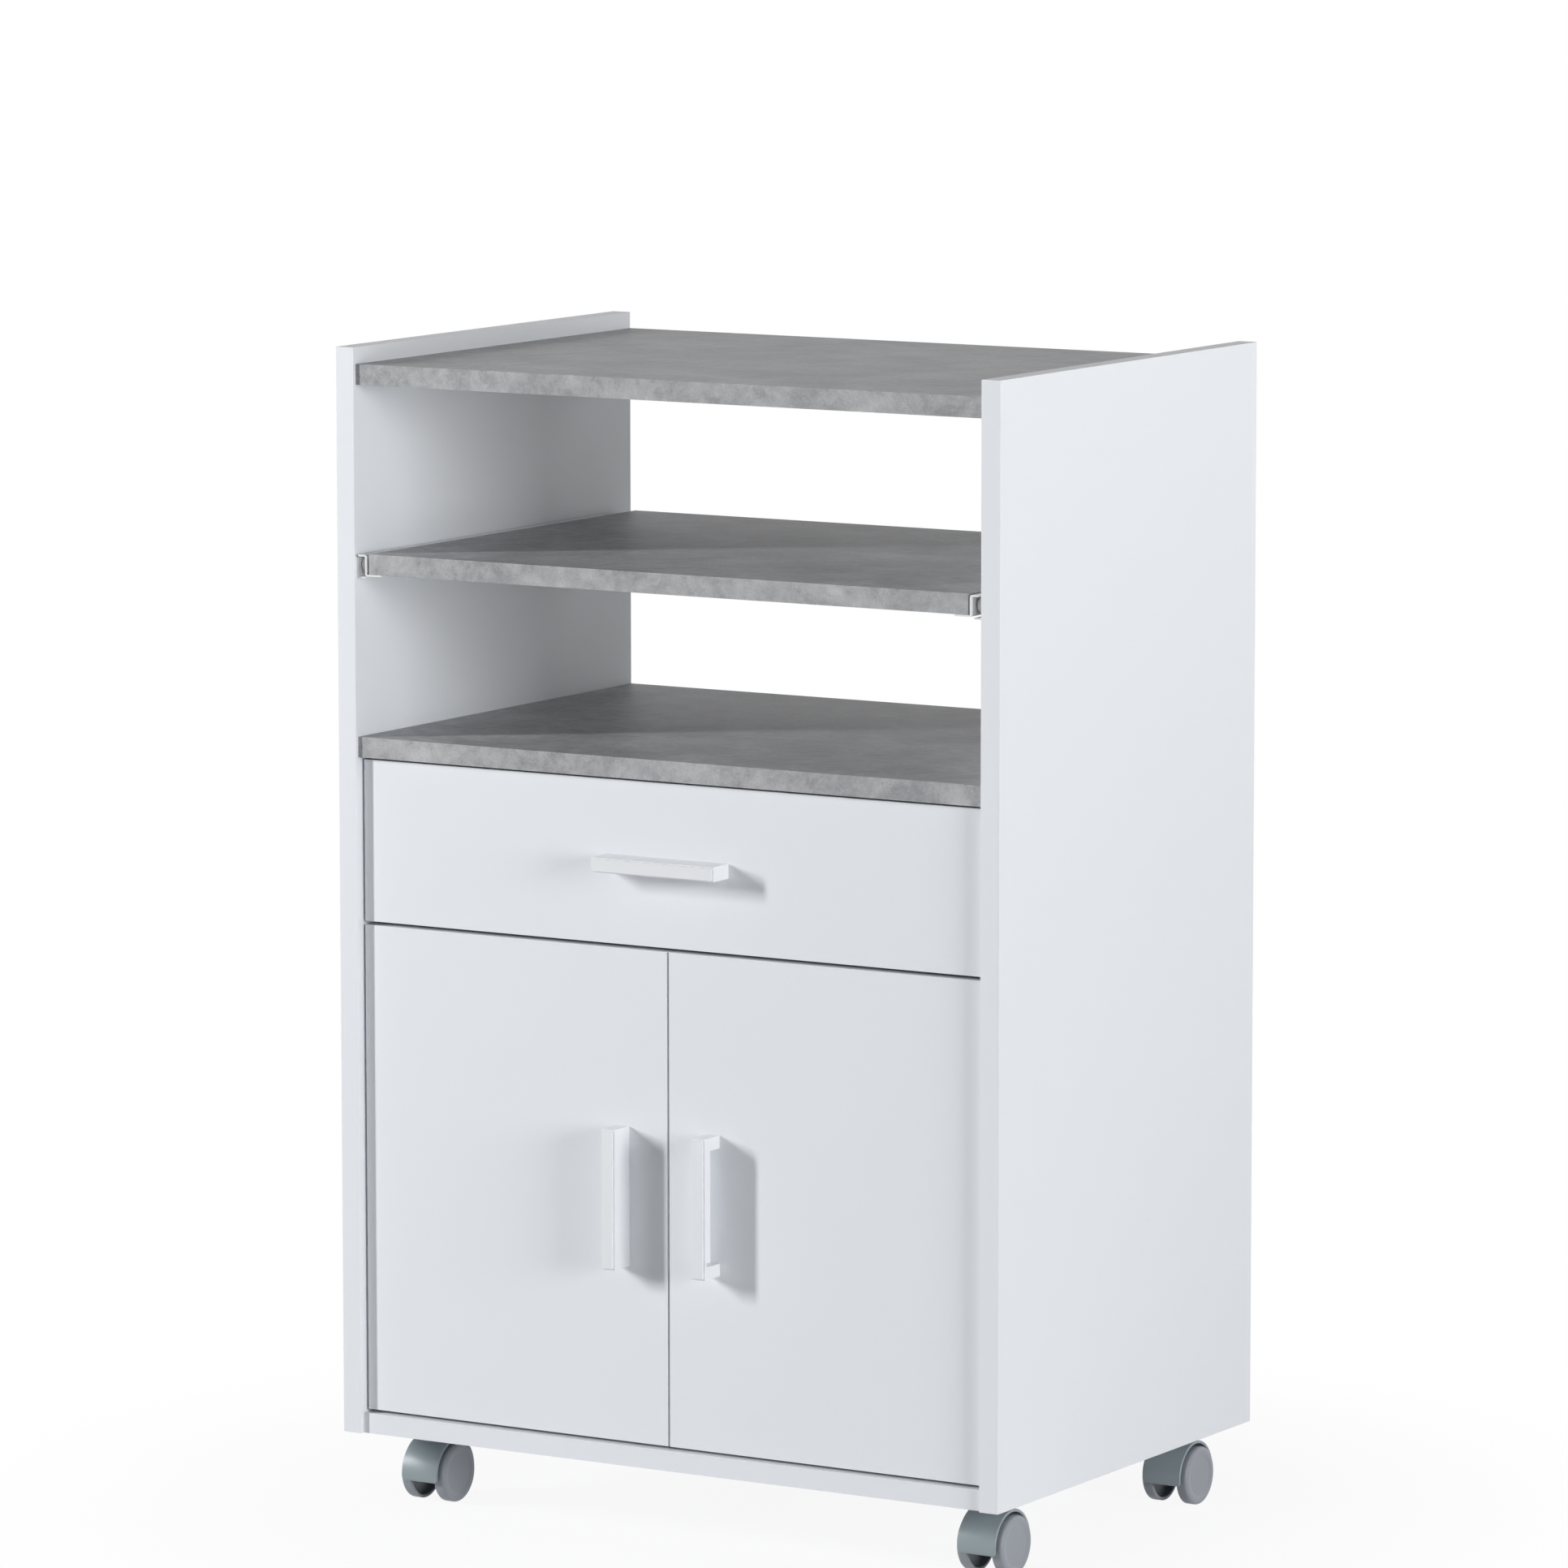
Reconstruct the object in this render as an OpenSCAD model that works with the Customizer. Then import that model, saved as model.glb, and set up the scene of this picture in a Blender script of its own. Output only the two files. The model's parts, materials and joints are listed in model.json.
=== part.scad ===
// Kitchen cart: an open top bay, a pull-out shelf on roller runners, an open bay,
// a drawer on the same runners, a two-door cupboard and four twin-wheel castors.
// Floor at z = 0, front towards -Y, origin under the middle of the whole object.

/* [Carcass] */
// Width over the side panels
body_w = 590; // [500:5:700]
// Depth of the side panels
body_d = 400; // [380:5:500]
// Height of the side panels
side_h = 852; // [840:1:900]
// Thickness of the coated boards
board_t = 16; // [16:1:19]
// Setback of the board fronts behind the side panels' front edges
board_setback = 3; // [2:0.5:5]
// Setback of the pull-out shelf's front
pull_out_setback = 1.7; // [1.5:0.1:4]
// Top of the top board, above the underside of the carcass
top_board_level = 839; // [836:1:845]
// Top of the pull-out shelf
pull_out_level = 692.5; // [680:0.5:705]
// Top of the fixed shelf
fixed_shelf_level = 549.5; // [545:0.5:552]
// Thickness of the hardboard back and of the drawer bottom
hardboard_t = 3; // [2.5:0.5:4]

/* [Fronts] */
// Setback of the drawer front and the doors
front_setback = 8; // [6:0.5:9]
// Gap between a front and what surrounds it
front_gap = 2; // [1.5:0.5:2.5]
// Middle of the gap between the drawer front and the doors
split_level = 403.5; // [400:0.5:406]
// Length of a handle
handle_len = 109; // [108:1:120]
// Width of a handle across its grip
handle_w = 11.5; // [11:0.5:14]
// How far a handle stands out from its front
handle_depth = 24; // [22:1:28]
// Distance from the meeting edges of the doors to each handle's middle
handle_from_middle = 40.5; // [35:0.5:60]

/* [Runners] */
// Side clearance between a sliding board and the side panel
slide_gap = 12; // [12:0.5:13]
// Length of a runner
runner_len = 350; // [300:50:350]
// Radius of the runner rollers
roller_r = 6.3; // [6:0.1:6.5]

/* [Castors] */
// Height of a castor, from the floor to the carcass
castor_h = 62; // [61:0.5:64]
// Radius of a castor wheel
wheel_r = 23; // [22:0.5:23.5]
// Width over the two wheels of a castor
castor_w = 40.3; // [39:0.1:42]
// Outer radius of the castor hood
hood_r = 27.4; // [27:0.1:28]
// Width of the castor hood
hood_w = 33; // [32:0.5:34]
// Distance from the swivel axis to the axle in front of it
trail = 8; // [6:0.5:8]
// Distance from the side of the cart to a swivel axis
castor_from_side = 42.5; // [42:0.5:60]
// Distance from the front of the cart to the front axles
front_axle_inset = 68.8; // [60:0.1:70]
// Distance from the back of the cart to the rear axles
rear_axle_inset = 40.2; // [40:0.1:60]

/* [Hidden] */
$fn = 48;

white = [0.93, 0.94, 0.95];
concrete = [0.58, 0.58, 0.58];
castor_grey = [0.55, 0.57, 0.59];
steel = [0.75, 0.76, 0.77];
hardboard = [0.82, 0.80, 0.76];
beech = [0.80, 0.65, 0.45];

// Overall frame: the handles stand in front of the side panels, and the origin is centred on both
handle_proud = handle_depth - front_setback;
front_y = -(body_d - handle_proud) / 2;
back_y = front_y + body_d;
inner_x = body_w / 2 - board_t;
base_z = castor_h;
front_face_y = front_y + front_setback;
front_back_y = front_face_y + board_t;

top_z = base_z + top_board_level - board_t;
pull_out_z = base_z + pull_out_level - board_t;
shelf_z = base_z + fixed_shelf_level - board_t;

// Back panel in its grooves
back_panel_y = back_y - 10 - hardboard_t;
groove_depth = 5;
groove_clearance = 0.2;
back_panel_top = shelf_z + groove_depth - 0.5;
groove_y = back_panel_y - groove_clearance;
groove_w = hardboard_t + 2 * groove_clearance;
groove_top = back_panel_top + groove_clearance;

// Fronts
split_gap = 3;
drawer_front_z = base_z + split_level + split_gap / 2;
drawer_front_h = shelf_z - front_gap - drawer_front_z;
door_z = base_z + board_t + front_gap + 0.5;
door_h = base_z + split_level - split_gap / 2 - door_z;
door_w = inner_x - front_gap - front_gap / 2;

// Knock-down fittings, by distance from the front of the side panels
cam_r = 7.5;
cam_h = 12;
cam_inset = 34;
cam_offsets = [110, 300];
bolt_r = 3;
bolt_in_side = 11;
dowel_r = 4;
dowel_len = 30;
dowel_in_side = 11;
dowel_offsets = [25, 336];
fit = 0.05;
board_levels = [base_z + board_t / 2, shelf_z + board_t / 2, top_z + board_t / 2];

// Roller runners: s is the distance from the side panel, y runs back from the runner's front end,
// and z rises from the underside of what the runner carries
sheet = 1.3;
rail_web = 1.2;
rail_flange = 7.6;
runner_web_s = slide_gap - 1.8 - sheet;
runner_bottom_w = 13;
runner_top_s = 2.6;
runner_setback = 1;
pull_out_rear_gap = 12;
runner_h = board_t - 0.8;
roller_gap = 0.5;
roller_w = 5;
rear_roller_s = 3.2;
front_roller_s = 2;
pin_r = 2;
rail_top = runner_h - sheet - 1;
channel_h = 2 * (roller_r + roller_gap);
channel_z = rail_top - rail_web - channel_h;
front_roller_z = runner_h - sheet - roller_gap - roller_r;
rear_roller_z = channel_z + roller_gap + roller_r;
rail_y = 2;
rail_len = runner_len - 5;
front_roller_y = rail_y + 10;
rear_roller_y = runner_len - 10;
flange_y = rail_y + 25;
rail_screw_offsets = [47, 172, 302];
runner_screw_offsets = [40, 165, 290];
screw_r = 1.75;
head_r = 3.2;
runner_screw_s = runner_web_s + sheet + 6.5;

// Drawer box
drawer_t = 12;
drawer_side_h = 90;
drawer_box_z = drawer_front_z + 15;
drawer_box_len = runner_len;
drawer_outer_x = inner_x - slide_gap;
drawer_inner_x = drawer_outer_x - drawer_t;
drawer_bottom_z = drawer_box_z + 8;
drawer_groove = 5;
drawer_back_y = front_back_y + drawer_box_len - drawer_t;
small_dowel_r = 3;
small_dowel_len = 26;
dowel_levels = [drawer_box_z + 30, drawer_box_z + 70];

// Front end and underside of the pull-out shelf and of the drawer box
shelf_slide = [front_y + runner_setback, pull_out_z];
drawer_slide = [front_back_y + 0.5, drawer_box_z];
slides = [shelf_slide, drawer_slide];

// Handles: a box with one long side open, on two screws
post_t = 10;
grip_t = 3.3;
grip_wall = 3;
plate_proud = 1.8;
plate_rim = 1;
screw_spacing = 96;
handle_screw_r = 2;
grip_depth = 8;
drawer_handle_z = drawer_front_z + drawer_front_h / 2;
door_handle_z = door_z + door_h / 2;

// Cup hinges: the pin sits in the cup, and an arm from the side panel hooks round into it
hinge_s = front_gap + 18;
hinge_y = front_face_y + 7.1;
cup_s = front_gap + 21.5;
cup_r = 17.5;
cup_depth = 12;
cup_wall = 1;
hinge_levels = [door_z + 70, door_z + door_h - 70];
hinge_pin_r = 1.25;
arm_h = 13;
arm_t = 2.4;
arm_knee = [hinge_s + 13.5, hinge_y + 3.6];
arm_top_y = front_face_y + 29.7;
arm_s = 9;
arm_end_y = arm_top_y + 55;
plate_end_y = arm_end_y - 4;
plate_start_y = arm_top_y + 6;
plate_screw_z = 16;

// Castors
castor_x = body_w / 2 - castor_from_side;
wheel_w = 9.3;
hood_wall = 2.4;
web_w = 8;
boss_r = 7.5;
collar_r = 9;
stem_r = 4;
axle_r = 2.5;
hub_r = 6;
boss_z = wheel_r + hub_r + 0.6;
stem_z = boss_z + 3;
castor_plate = 38;
castor_plate_t = 2;
castor_screw_grid = 28;
hood_drop = 4.8;
hood_corner_r = 3;
axle_boss_r = 5;
castor_screw_len = 13;
collar_z = wheel_r + hood_r - 9;
collar_gap = 2.3;

// One side of the cart: children are drawn with s along +X from the side panel's inner face
module on_side(side) {
    if (side < 0) translate([-inner_x, 0, 0]) children();
    else translate([inner_x, 0, 0]) mirror([1, 0, 0]) children();
}

module both_sides() {
    for (side = [-1, 1]) on_side(side) children();
}

module along_x(p, r, len) {
    translate(p) rotate([0, 90, 0]) cylinder(r = r, h = len);
}

module along_y(p, r, len) {
    translate(p) rotate([-90, 0, 0]) cylinder(r = r, h = len);
}

module block(p, size) {
    translate(p) cube(size);
}

// Straight bar of width w between two points of a flat drawing, with round ends
module flat_bar(a, b, w) {
    d = b - a;
    translate(a) rotate(atan2(d[1], d[0])) translate([0, -w / 2]) square([norm(d), w]);
    translate(a) circle(d = w, $fn = 24);
    translate(b) circle(d = w, $fn = 24);
}

// --- Carcass -----------------------------------------------------------------------------

// Holes of the knock-down fittings in one side panel, drawn from its inner face
module side_fitting_holes() {
    for (z = board_levels) {
        for (y = cam_offsets)
            along_x([-bolt_in_side - 0.5, front_y + y, z], bolt_r + fit, bolt_in_side + 1);
        for (y = dowel_offsets)
            along_x([-dowel_in_side - 0.5, front_y + y, z], dowel_r + fit, dowel_in_side + 1);
    }
}

module side_panel() {
    difference() {
        block([-board_t, front_y, base_z], [board_t, body_d, side_h]);
        side_fitting_holes();
        block([-groove_depth, groove_y, base_z - 1],
            [groove_depth + 1, groove_w, groove_top - base_z + 1]);
        for (slide = slides) at_slide(slide) rail_screw_places() along_x([-12, 0, 0], screw_r + fit, 13);
        hinge_plate_screw_places() along_x([-12, 0, 0], screw_r + fit, 13);
    }
}

module left_side_panel() {
    color(white) on_side(-1) side_panel();
}

module right_side_panel() {
    color(white) on_side(1) side_panel();
}

// A board between the sides, with its cams bored from below
module carcass_board(z, setback, rear_y) {
    difference() {
        block([-inner_x, front_y + setback, z], [2 * inner_x, rear_y - front_y - setback, board_t]);
        both_sides() {
            for (y = cam_offsets) {
                translate([cam_inset, front_y + y, z - 1]) cylinder(r = cam_r + fit, h = cam_h + 1 + fit);
                along_x([-1, front_y + y, z + board_t / 2], bolt_r + fit, cam_inset + 1);
            }
            for (y = dowel_offsets)
                along_x([-1, front_y + y, z + board_t / 2], dowel_r + fit, dowel_len - dowel_in_side + 1.5);
        }
    }
}

module top_board() {
    color(concrete) carcass_board(top_z, board_setback, back_y);
}

module fixed_shelf() {
    color(concrete) difference() {
        carcass_board(shelf_z, board_setback, back_y);
        block([-inner_x - 1, groove_y, shelf_z - 1], [2 * inner_x + 2, groove_w, groove_depth + 1]);
    }
}

module bottom_panel() {
    color(white) difference() {
        carcass_board(base_z, board_setback + 1, groove_y);
        castor_screw_places() translate([0, 0, -1]) cylinder(r = screw_r + fit, h = castor_screw_len + 1);
    }
}

module back_panel() {
    x = inner_x + groove_depth - 0.5;
    color(hardboard) block([-x, back_panel_y, base_z], [2 * x, hardboard_t, back_panel_top - base_z]);
}

module cam_locks() {
    color(steel) both_sides() for (z = board_levels, y = cam_offsets)
        translate([cam_inset, front_y + y, z - board_t / 2 + 0.3]) difference() {
            cylinder(r = cam_r, h = cam_h - 0.3);
            translate([-4.5, -0.6, -1]) cube([9, 1.2, 3]);
            translate([-0.6, -4.5, -1]) cube([1.2, 9, 3]);
        }
}

module cam_bolts() {
    color(steel) both_sides() for (z = board_levels, y = cam_offsets)
        along_x([-bolt_in_side, front_y + y, z], bolt_r, cam_inset - cam_r - 0.5 + bolt_in_side);
}

module dowels() {
    color(beech) both_sides() for (z = board_levels, y = dowel_offsets)
        along_x([-dowel_in_side, front_y + y, z], dowel_r, dowel_len);
}

// --- Runners -----------------------------------------------------------------------------

module at_slide(slide) {
    translate([0, slide[0], slide[1]]) children();
}

module rail_screw_places() {
    for (y = rail_screw_offsets) translate([0, y, rear_roller_z]) children();
}

module runner_screw_places() {
    for (y = runner_screw_offsets) translate([runner_screw_s, y, 0]) children();
}

// Cabinet rail: a C channel for the rear roller, open at the front where its own roller stands
module rail(slide) {
    web_h = rail_top - channel_z + rail_web;
    at_slide(slide) difference() {
        union() {
            block([0, rail_y, channel_z - rail_web], [rail_web, rail_len, web_h]);
            block([0, rail_y, channel_z - rail_web], [rail_flange, rail_len, rail_web]);
            block([0, flange_y, rail_top - rail_web], [rail_flange, rail_len + rail_y - flange_y, rail_web]);
            along_x([0.5, front_roller_y, front_roller_z], pin_r, front_roller_s + roller_w + 0.3 - 0.5);
        }
        rail_screw_places() along_x([-1, 0, 0], screw_r + fit, 4);
    }
}

module shelf_rails() {
    color(white) both_sides() rail(shelf_slide);
}

module drawer_rails() {
    color(white) both_sides() rail(drawer_slide);
}

module rail_screws() {
    color(steel) both_sides() for (slide = slides) at_slide(slide) rail_screw_places() {
        along_x([-11.5, 0, 0], screw_r, 13);
        along_x([rail_web + fit, 0, 0], head_r, 1.3);
    }
}

module roller(slide, s, y, z) {
    at_slide(slide) difference() {
        along_x([s, y, z], roller_r, roller_w);
        along_x([s - 1, y, z], pin_r + fit, roller_w + 2);
    }
}

module shelf_front_rollers() {
    color(white) both_sides() roller(shelf_slide, front_roller_s, front_roller_y, front_roller_z);
}

module drawer_front_rollers() {
    color(white) both_sides() roller(drawer_slide, front_roller_s, front_roller_y, front_roller_z);
}

module shelf_rear_rollers() {
    color(white) both_sides() roller(shelf_slide, rear_roller_s, rear_roller_y, rear_roller_z);
}

module drawer_rear_rollers() {
    color(white) both_sides() roller(drawer_slide, rear_roller_s, rear_roller_y, rear_roller_z);
}

// Moving runner: a Z profile, its bottom flange under the board and its top flange over the rail
module runner(slide) {
    web_back = runner_web_s + sheet;
    at_slide(slide) difference() {
        union() {
            block([runner_web_s, 0, -sheet], [sheet, runner_len, runner_h + sheet]);
            block([runner_web_s, 0, -sheet], [runner_bottom_w + sheet, runner_len, sheet]);
            block([runner_top_s, 0, runner_h - sheet], [web_back - runner_top_s, runner_len, sheet]);
            along_x([rear_roller_s, rear_roller_y, rear_roller_z],
                pin_r, runner_web_s - rear_roller_s + 0.2);
        }
        runner_screw_places() translate([0, 0, -3]) cylinder(r = screw_r + fit, h = 6);
    }
}

module left_shelf_runner() {
    color(white) on_side(-1) runner(shelf_slide);
}

module right_shelf_runner() {
    color(white) on_side(1) runner(shelf_slide);
}

module left_drawer_runner() {
    color(white) on_side(-1) runner(drawer_slide);
}

module right_drawer_runner() {
    color(white) on_side(1) runner(drawer_slide);
}

module runner_screws(slide) {
    at_slide(slide) runner_screw_places() {
        translate([0, 0, -sheet]) cylinder(r = screw_r, h = 12 + sheet);
        translate([0, 0, -sheet - fit - 1.6]) cylinder(r = head_r, h = 1.6);
    }
}

module shelf_runner_screws() {
    color(steel) both_sides() runner_screws(shelf_slide);
}

module drawer_runner_screws() {
    color(steel) both_sides() runner_screws(drawer_slide);
}

// Holes for the runner screws in what the runner carries
module runner_screw_holes(slide) {
    at_slide(slide) runner_screw_places() translate([0, 0, -1]) cylinder(r = screw_r + fit, h = 13.2);
}

module pull_out_board() {
    x = inner_x - slide_gap;
    color(concrete) difference() {
        block([-x, front_y + pull_out_setback, pull_out_z],
            [2 * x, body_d - pull_out_setback - pull_out_rear_gap, board_t]);
        both_sides() runner_screw_holes(shelf_slide);
    }
}

// --- Drawer ------------------------------------------------------------------------------

module front_board(x, z, w, h) {
    block([x, front_face_y, z], [w, board_t, h]);
}

module drawer_front() {
    x = inner_x - front_gap;
    groove_x = drawer_inner_x + drawer_groove;
    color(white) difference() {
        front_board(-x, drawer_front_z, 2 * x, drawer_front_h);
        drawer_handle_place() handle_screw_holes();
        block([-groove_x, front_back_y - drawer_groove, drawer_bottom_z - groove_clearance],
            [2 * groove_x, drawer_groove + 1, groove_w]);
        drawer_front_dowel_places() along_y([0, -12, 0], small_dowel_r + fit, 13);
    }
}

module drawer_front_dowel_places() {
    for (side = [-1, 1], z = dowel_levels)
        translate([side * (drawer_outer_x - drawer_t / 2), front_back_y, z]) children();
}

module drawer_back_dowel_places() {
    y = drawer_back_y + drawer_t / 2;
    for (side = [-1, 1], z = dowel_levels)
        translate([side * drawer_inner_x, y, z]) rotate(side > 0 ? 0 : 180) children();
}

module drawer_side() {
    difference() {
        block([slide_gap, front_back_y, drawer_box_z], [drawer_t, drawer_box_len, drawer_side_h]);
        block([slide_gap + drawer_t - drawer_groove, front_back_y - 1, drawer_bottom_z - groove_clearance],
            [drawer_groove + 1, drawer_box_len + 2, groove_w]);
        for (z = dowel_levels) {
            along_y([slide_gap + drawer_t / 2, front_back_y - 1, z],
                small_dowel_r + fit, small_dowel_len - 10);
            along_x([slide_gap + 3, drawer_back_y + drawer_t / 2, z], small_dowel_r + fit, drawer_t);
        }
        runner_screw_holes(drawer_slide);
    }
}

module left_drawer_side() {
    color(white) on_side(-1) drawer_side();
}

module right_drawer_side() {
    color(white) on_side(1) drawer_side();
}

module drawer_back() {
    z = drawer_bottom_z + hardboard_t + groove_clearance;
    h = drawer_box_z + drawer_side_h - 2 - z;
    color(white) difference() {
        block([-drawer_inner_x, drawer_back_y, z], [2 * drawer_inner_x, drawer_t, h]);
        drawer_back_dowel_places() along_x([-17.5, 0, 0], small_dowel_r + fit, 18.5);
    }
}

module drawer_bottom() {
    x = drawer_inner_x + drawer_groove - 0.5;
    color(hardboard) block([-x, front_back_y - drawer_groove + 0.5, drawer_bottom_z],
        [2 * x, drawer_box_len + drawer_groove - 0.5, hardboard_t]);
}

module drawer_dowels() {
    color(beech) {
        drawer_front_dowel_places() along_y([0, -11.5, 0], small_dowel_r, small_dowel_len);
        drawer_back_dowel_places() along_x([-17, 0, 0], small_dowel_r, small_dowel_len);
    }
}

// --- Handles -----------------------------------------------------------------------------

// Lies along X on the plane y = 0, stands out towards -Y, and is open on its -Z side
module handle() {
    body_depth = handle_depth - plate_proud;
    grip_y = grip_t - body_depth;
    cavity = handle_len - 2 * post_t;
    difference() {
        union() {
            block([-handle_len / 2, -body_depth, -handle_w / 2], [handle_len, body_depth, handle_w]);
            block([-handle_len / 2 + plate_rim, -handle_depth, -handle_w / 2 + plate_rim],
                [handle_len - 2 * plate_rim, plate_proud + 0.5, handle_w - 2 * plate_rim]);
        }
        block([-cavity / 2, grip_y, -handle_w / 2 - 1], [cavity, body_depth, handle_w - grip_wall + 1]);
        for (sx = [-1, 1])
            along_y([sx * screw_spacing / 2, -grip_depth - 0.5, 0], handle_screw_r + fit, grip_depth + 1);
    }
}

module handle_screws() {
    for (sx = [-1, 1]) {
        along_y([sx * screw_spacing / 2, -grip_depth, 0], handle_screw_r, grip_depth + board_t + fit);
        along_y([sx * screw_spacing / 2, board_t + fit, 0], 4, 2.6);
    }
}

// Holes for the handle's screws through its front
module handle_screw_holes() {
    for (sx = [-1, 1]) along_y([sx * screw_spacing / 2, -1, 0], handle_screw_r + 0.2, board_t + 2);
}

module drawer_handle_place() {
    translate([0, front_face_y, drawer_handle_z]) children();
}

// The open side of a door handle faces the hinges
module door_handle_place(side) {
    translate([side * handle_from_middle, front_face_y, door_handle_z])
        rotate([0, -90 * side, 0]) children();
}

module drawer_handle() {
    color(white) drawer_handle_place() handle();
}

module drawer_handle_screws() {
    color(steel) drawer_handle_place() handle_screws();
}

module left_door_handle() {
    color(white) door_handle_place(-1) handle();
}

module left_door_handle_screws() {
    color(steel) door_handle_place(-1) handle_screws();
}

module right_door_handle() {
    color(white) door_handle_place(1) handle();
}

module right_door_handle_screws() {
    color(steel) door_handle_place(1) handle_screws();
}

// --- Doors and hinges ----------------------------------------------------------------------

module cup_places() {
    for (z = hinge_levels) translate([cup_s, front_back_y - cup_depth, z]) children();
}

module door(side) {
    difference() {
        on_side(side) difference() {
            front_board(front_gap, door_z, door_w, door_h);
            cup_places() along_y([0, 0, 0], cup_r + fit, cup_depth + 1);
        }
        door_handle_place(side) handle_screw_holes();
    }
}

module left_door() {
    color(white) door(-1);
}

module right_door() {
    color(white) door(1);
}

// Cup with its flange on the door's back, two ears and the pin between them
module hinge_cups() {
    cup_places() {
        difference() {
            union() {
                along_y([0, 0, 0], cup_r, cup_depth);
                along_y([0, cup_depth, 0], cup_r + 1.5, cup_wall);
                block([-5, cup_depth, -30], [14, cup_wall, 60]);
            }
            along_y([0, 0.6, 0], cup_r - cup_wall, cup_depth + 2);
            for (z = [-24, 24]) along_y([2, cup_depth - 1, z], screw_r, 3);
        }
        for (z = [-11.5, 7.5]) block([hinge_s - cup_s - 3, 0.5, z], [6, 6.2, 4]);
        translate([hinge_s - cup_s, hinge_y - front_back_y + cup_depth, -11.5])
            cylinder(r = hinge_pin_r, h = 23);
    }
}

module left_hinge_cups() {
    color(steel) on_side(-1) hinge_cups();
}

module right_hinge_cups() {
    color(steel) on_side(1) hinge_cups();
}

// The arm's plan: an eye round the pin, a hook out of the cup, and a run back along the side
module arm_plan() {
    difference() {
        union() {
            translate([hinge_s, hinge_y]) circle(r = 2.2);
            flat_bar([hinge_s, hinge_y], arm_knee, arm_t);
            flat_bar(arm_knee, [arm_knee[0], arm_top_y], arm_t);
            flat_bar([arm_knee[0], arm_top_y], [arm_s, arm_top_y], arm_t);
            flat_bar([arm_s, arm_top_y], [arm_s, arm_end_y], arm_t);
        }
        translate([hinge_s, hinge_y]) circle(r = hinge_pin_r + fit);
    }
}

module hinge_arms() {
    color(steel) both_sides() for (z = hinge_levels)
        translate([0, 0, z - arm_h / 2]) linear_extrude(height = arm_h) arm_plan();
}

module hinge_plate_screw_places() {
    for (z = hinge_levels, dz = [-plate_screw_z, plate_screw_z])
        translate([0, (plate_start_y + plate_end_y) / 2, z + dz]) children();
}

module hinge_plates() {
    seat = arm_s - arm_t / 2;
    y = (plate_start_y + plate_end_y) / 2;
    color(steel) both_sides() difference() {
        for (z = hinge_levels) {
            block([0, plate_start_y, z - arm_h / 2], [seat, plate_end_y - plate_start_y, arm_h]);
            block([0, y - 8, z - plate_screw_z - 7], [2.5, 16, 2 * (plate_screw_z + 7)]);
        }
        hinge_plate_screw_places() along_x([-1, 0, 0], screw_r + fit, 5);
    }
}

module hinge_plate_screws() {
    color(steel) both_sides() hinge_plate_screw_places() {
        along_x([-11.5, 0, 0], screw_r, 14);
        along_x([2.5 + fit, 0, 0], head_r, 1.6);
    }
}

// --- Castors -----------------------------------------------------------------------------

function stem_y(end) = trail + (end < 0 ? front_y + front_axle_inset : back_y - rear_axle_inset);

module castor_place(side, end) {
    translate([side * castor_x, stem_y(end), 0]) children();
}

module every_castor() {
    for (side = [-1, 1], end = [-1, 1]) castor_place(side, end) children();
}

module castor_screw_places() {
    every_castor() for (sx = [-1, 1], sy = [-1, 1])
        translate([sx * castor_screw_grid / 2, sy * castor_screw_grid / 2, base_z]) children();
}

// Mounting plate with the swivel pin riveted through it
module castor_plates() {
    plate_z = base_z - castor_plate_t;
    color(steel) difference() {
        every_castor() {
            translate([0, 0, plate_z + castor_plate_t / 2])
                cube([castor_plate, castor_plate, castor_plate_t], center = true);
            translate([0, 0, stem_z]) cylinder(r = stem_r, h = plate_z + 0.5 - stem_z);
        }
        castor_screw_places() translate([0, 0, -castor_plate_t - 1])
            cylinder(r = screw_r + fit, h = castor_plate_t + 2);
    }
}

module castor_plate_screws() {
    color(steel) castor_screw_places() {
        translate([0, 0, -castor_plate_t]) cylinder(r = screw_r, h = castor_screw_len + castor_plate_t - 1);
        translate([0, 0, -castor_plate_t - fit - 1.8]) cylinder(r = head_r, h = 1.8);
    }
}

// Hood over both wheels: drum shell and middle web, boss and collar round the swivel pin
module castor_hood() {
    axle = [0, -trail, wheel_r];
    color(castor_grey) difference() {
        union() {
            difference() {
                union() {
                    difference() {
                        along_x(axle - [hood_w / 2, 0, 0], hood_r, hood_w);
                        along_x(axle - [hood_w, 0, 0], hood_r - hood_wall, 2 * hood_w);
                    }
                    along_x(axle - [web_w / 2, 0, 0], hood_r - 1, web_w);
                }
                translate(axle - [0, 0, hood_drop]) hood_opening();
            }
            intersection() {
                translate([0, 0, boss_z]) cylinder(r = boss_r, h = hood_r);
                along_x(axle - [hood_w, 0, 0], hood_r - 1, 2 * hood_w);
            }
            along_x(axle - [web_w / 2, 0, 0], axle_boss_r, web_w);
            translate([0, 0, collar_z])
                cylinder(r = collar_r, h = base_z - castor_plate_t - collar_gap - collar_z);
        }
        along_x(axle - [web_w, 0, 0], axle_r + 0.02, 2 * web_w);
        translate([0, 0, stem_z - 1]) cylinder(r = stem_r + fit, h = hood_r + 20);
        for (s = [-1, 1]) hood_wheel_space(axle, s);
    }
}

// What is cut away under the hood, with the shell's four lower corners rounded
module hood_opening() {
    far = 3 * hood_r;
    x = hood_w / 2 - hood_corner_r;
    block([-far, -far, -far], [2 * far, 2 * far, far]);
    for (turn = [0, 1]) mirror([turn, 0, 0]) difference() {
        block([x, -far, -1], [hood_corner_r + 1, 2 * far, hood_corner_r + 1]);
        along_y([x, -far - 1, hood_corner_r], hood_corner_r, 2 * far + 2);
    }
}

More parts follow.
